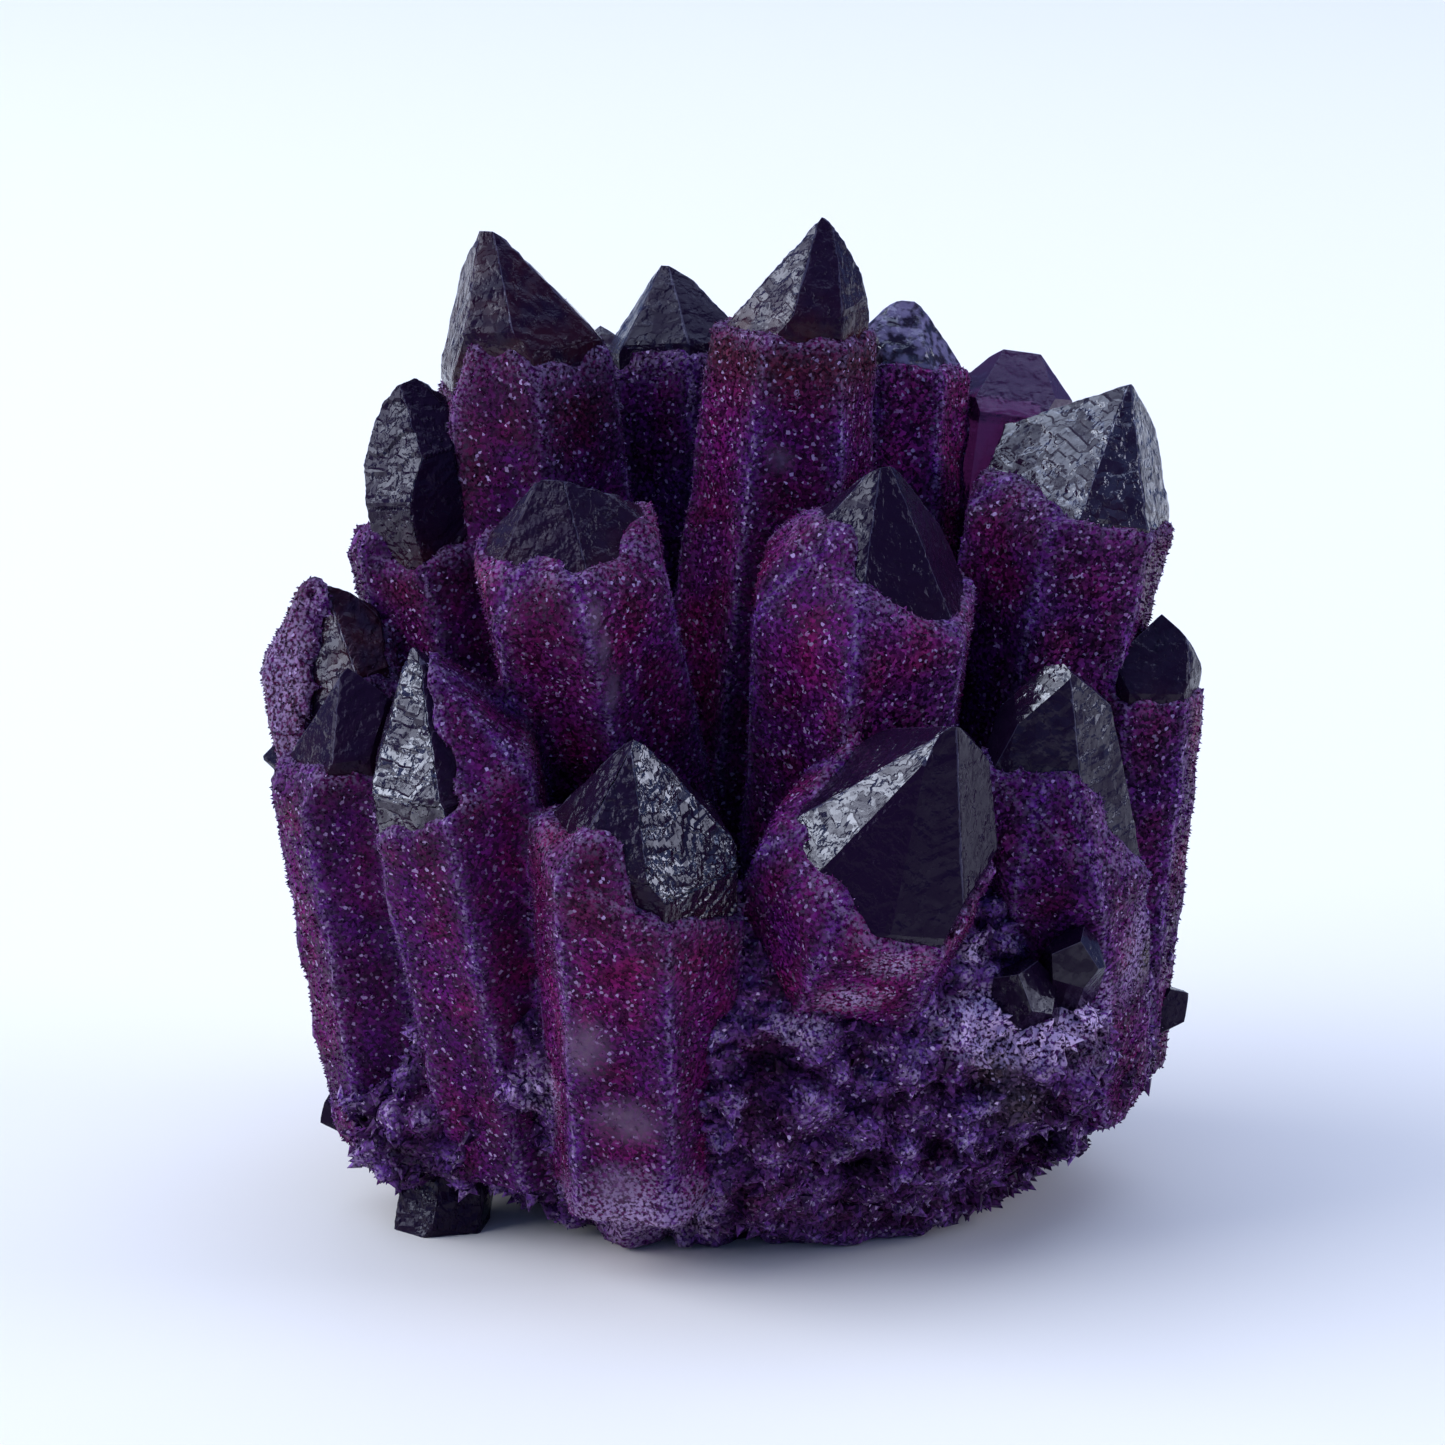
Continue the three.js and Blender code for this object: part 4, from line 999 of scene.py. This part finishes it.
# The foot. A lumpy bowl of fused small quartz crystals that the large ones grew out of, violet, with pale
# frost and a painted highlight on its bulges and painted shade in the hollows between them. It is sawn flat
# below so that the cluster stands.
# The step of the grid, and the height that it ends at inside the cluster.
FOOT_STEP = 0.62
FOOT_TOP = 36.0
# The ball that the foot is grown from, and the bulges beside it, each a middle and half sizes.
FOOT_MIDDLE = np.array([2.5, 0.0, 22.0])
FOOT_HALF = np.array([39.5, 35.0, 28.0])
BULGES = [([27, -22, 20], [9, 8, 7]), ([-28.5, -12, 10.5], [11, 10.5, 7])]
# How wide and how high its broad lumps are, and the small lumps and the crumbs on them.
LUMP_SIZE = 9.0
LUMP_HEIGHT = 2.6
SMALL_LUMP = 3.8
SMALL_HEIGHT = 3.0
CRUMB = 1.9
CRUMB_HEIGHT = 1.0
# The little points that stand all over it: how many, how thick, how far their tips stand out, how much they
# lean, how long their pointed end is as a share of the thickness, how deep they are rooted, and their taper.
LITTLE_POINTS = 130
LITTLE_ACROSS = (2.8, 6.0)
LITTLE_REACH = (0.8, 3.0)
LITTLE_LEAN = 0.9
LITTLE_END = 0.7
LITTLE_ROOT = 6.0
LITTLE_SLIM = 1.1
# The hollows in the foot, each a middle and a radius.
HOLLOWS = [([36.3, -19, 15], 3.2), ([13.2, -34.5, 22.6], 2.6), ([18.6, -31.5, 14.9], 2.0),
           ([25.7, -25, 10.6], 2.2), ([6, -33, 10.3], 1.8), ([27.3, -30.5, 18.6], 1.9),
           ([23.5, -30, 25], 1.3), ([-22, -28, 6], 2.0), ([31, -22, 6.5], 2.2), ([14, -32, 8], 1.6),
           ([36, 18, 16], 3.0), ([-30, 22, 14], 3.2), ([5, 36, 18], 2.8), ([40, 4, 14], 2.2),
           ([-38, 4, 16], 2.4)]


def lump_distance(points, size):
    """How far points are from the nearest of the lumps that fill space, one to a cell, in cells."""
    cell = np.floor(points / size)
    nearest = np.full(len(points), 9.0)
    for step in itertools.product((-1, 0, 1), repeat=3):
        near = cell + step
        middle = near + np.stack([cell_value(*near.T, draw) for draw in (1, 2, 3)], axis=1)
        nearest = np.minimum(nearest, np.linalg.norm(middle * size - points, axis=1) / size)
    return nearest


def ball_value(points, middle, half):
    """How far points are outside a lumpy ball."""
    from_middle = (points - middle) / half
    radius = np.maximum(np.linalg.norm(from_middle, axis=1), 0.001)
    outward = from_middle / radius[:, None]
    on_ball = middle + outward * half
    lumps = LUMP_HEIGHT * (0.5 - np.minimum(1, lump_distance(on_ball, LUMP_SIZE)))
    reach = np.linalg.norm(outward * half, axis=1)
    return (radius - 1) * reach - lumps


def little_point(index, count):
    """One of the little points that stand out of the foot, along a spiral round it."""
    up = 1 - 2 * (index + 0.5) / count
    turn = index * math.pi * (3 - math.sqrt(5))
    ring = math.sqrt(1 - up * up)
    on_ball = np.array([ring * math.cos(turn), ring * math.sin(turn), up])
    surface = on_ball * FOOT_HALF + FOOT_MIDDLE
    lean = np.array([cell_value(index, count, 0, draw) - 0.5 for draw in (4, 5, 6)])
    direction = unit(on_ball + lean * LITTLE_LEAN)
    across = np.interp(cell_value(index, count, 0, 7), (0, 1), LITTLE_ACROSS)
    reach = np.interp(cell_value(index, count, 0, 8), (0, 1), LITTLE_REACH)
    neck = reach - across * LITTLE_END
    return dict(tip=surface + direction * reach, neck=surface + direction * neck,
                root=surface + direction * (neck - LITTLE_ROOT), across=across, slim=LITTLE_SLIM,
                turn=360 * cell_value(index, count, 0, 9),
                rises=THREE_LARGE if index % 2 == 0 else OTHER_THREE)


def foot_value(points):
    """How far points are outside the foot, with its small lumps, crumbs and hollows."""
    value = ball_value(points, FOOT_MIDDLE, FOOT_HALF)
    for middle, half in BULGES:
        value = np.minimum(value, ball_value(points, np.array(middle), np.array(half)))
    near = np.abs(value) < FAR
    close = points[near]
    value[near] += (SMALL_HEIGHT * (lump_distance(close, SMALL_LUMP) - 0.45)
                    + CRUMB_HEIGHT * (lump_distance(close, CRUMB) - 0.5))
    for middle, radius in HOLLOWS:
        value = np.maximum(value, radius - np.linalg.norm(points - middle, axis=1))
    return value


foot_low = FOOT_MIDDLE - FOOT_HALF - 4.0
foot_high = np.array([46.0, 40.0, 40.0])
foot_field = np.full(np.ceil((GRID_HIGH - GRID_LOW) / FOOT_STEP).astype(int), FAR)
block, points = grid_block(foot_low, foot_high, FOOT_STEP)
flat = points.reshape(-1, 3)
value = foot_value(flat)
for index in range(LITTLE_POINTS):
    small = little_point(index, LITTLE_POINTS)
    if small["tip"][2] < 0 or small["tip"][2] > foot_high[2]:
        continue
    normals, distances = crystal_planes(small)
    near = np.linalg.norm(flat - small["neck"], axis=1) < small["across"] + 4
    small_value = (flat[near] @ normals.T - distances).max(axis=1)
    value[near] = soft_lower(value[near], small_value, 0.5)
foot_field[block] = value.reshape(points.shape[:3])
heights = GRID_LOW[2] + FOOT_STEP * np.arange(foot_field.shape[2])
foot_field = np.maximum(foot_field, np.maximum(0.0 - heights, heights - FOOT_TOP))
foot_points, foot_quads = surface_of(foot_field, FOOT_STEP)
foot_points[:, 2] = np.maximum(foot_points[:, 2], 0.0)
VIOLET = {"deep": (0.035, 0.005, 0.045, 1), "glow": (0.09, 0.014, 0.06, 1), "edge": (0.11, 0.035, 0.2, 1),
          "pale": (0.7, 0.5, 0.72, 1)}
foot = lay_coat("druzy_foot", foot_points, foot_quads, druse("foot_quartz", **VIOLET))
glow = crystal_edges(foot_points)[3]
lumps = lump_distance(foot_points, SMALL_LUMP)
# On the foot, edge and rim are a painted highlight on the bulges, and hollow is painted shade in the creases
# between them.
give_looks(foot, foot_points, {
    "edge": np.clip(1.2 - 1.6 * lumps, 0, 1), "rim": np.clip(0.9 - 2.2 * lumps, 0, 0.8),
    "warmth": lumps * 0, "glow": glow, "hollow": np.clip(2.6 * (lumps - 0.5), 0, 1)})

# The foot's grains. The same quartz splinters as on the coat, a little larger and in the foot's violet, and
# among them small six-sided points that give the foot its jagged look.
violet_grains = grain_material("violet_grains", **VIOLET)
# As above, with the number of a grain's sides before the draw.
for name, values in (
    ("foot_grains_1", (1.5, 0.00025, 0.0005, 3, 4)),
    ("foot_grains_2", (0.25, 0.0008, 0.0017, 6, 5)),
):
    density, smallest, largest, sides, draw = values
    grow_grains(name, foot, GRAINS, violet_grains, {
        "Grains per square metre": density * 1e6, "Smallest": smallest, "Largest": largest, "Sides": sides,
        "Draw": draw})

# The floor, the lights and the camera, none of which is part of the cluster. A pale seamless floor fills the
# view, soft panels light it, and the camera stands at the photo's angle.
floor_material, floor_tree, floor_shader = new_material("pale_floor")
PALE_CREAM = (0.95, 0.88, 0.76, 1)
finish_shader(floor_tree, floor_shader, Base_Color=PALE_CREAM, Roughness=0.9, Specular_IOR_Level=0.0)
bpy.ops.mesh.primitive_plane_add(size=12.0, location=(0, 0, 0))
floor = bpy.context.object
floor.name = "floor"
floor.data.materials.append(floor_material)

# The blue light from all around, and its strength.
AIR_BLUE = (0.27, 0.44, 1.0, 1)
AIR_STRENGTH = 0.5
world = bpy.data.worlds.new("studio")
world.use_nodes = True
world.node_tree.nodes["Background"].inputs[0].default_value = AIR_BLUE
world.node_tree.nodes["Background"].inputs[1].default_value = AIR_STRENGTH
bpy.context.scene.world = world


def panel(name, azimuth, elevation, away, wide, high, power, colour):
    """A soft light panel that faces the cluster. Azimuth 0 is in front of it, and 90 at its right."""
    light = bpy.data.lights.new(name, "AREA")
    light.shape = "RECTANGLE"
    light.size = wide
    light.size_y = high
    light.energy = power
    light.color = colour
    made = bpy.data.objects.new(name, light)
    a, e = math.radians(azimuth), math.radians(elevation)
    back = np.array([math.sin(a) * math.cos(e), -math.cos(a) * math.cos(e), math.sin(e)])
    made.location = np.array([0, 0, 0.05]) + back * away
    made.rotation_mode = "QUATERNION"
    made.rotation_quaternion = Vector(back).to_track_quat("Z", "Y")
    bpy.context.scene.collection.objects.link(made)


panel("key", -87, 28, 1.6, 1.85, 1.0, 27.0, (0.82, 0.88, 1.0))
panel("upper_left", -95, 58, 1.5, 1.5, 0.7, 6.0, (0.78, 0.86, 1.0))
panel("right", 90, 20, 1.2, 0.6, 0.65, 6.0, (0.8, 0.84, 1.0))
panel("top", 160, 62, 1.5, 1.7, 1.7, 18.0, (0.54, 0.63, 0.84))

# The lens is as long as this many of the picture's pixels, of which it has PICTURE_PIXELS across.
LENS_PIXELS = 6200.0
PICTURE_PIXELS = 1445.0
SENSOR = 36.0
CAMERA_ELEVATION = 15.0
CAMERA_AWAY = 0.62
CAMERA_TARGET = np.array([-0.00145, 0.0, 0.0475])
tilt = math.radians(CAMERA_ELEVATION)
camera_data = bpy.data.cameras.new("camera")
camera_data.sensor_width = SENSOR
camera_data.lens = LENS_PIXELS / PICTURE_PIXELS * SENSOR
camera_data.clip_end = 100.0
camera = bpy.data.objects.new("camera", camera_data)
camera.location = CAMERA_TARGET - np.array([0.0, math.cos(tilt), -math.sin(tilt)]) * CAMERA_AWAY
camera.rotation_euler = (math.pi / 2 - tilt, 0.0, 0.0)
bpy.context.scene.collection.objects.link(camera)
bpy.context.scene.camera = camera
bpy.context.scene.view_settings.view_transform = "Standard"
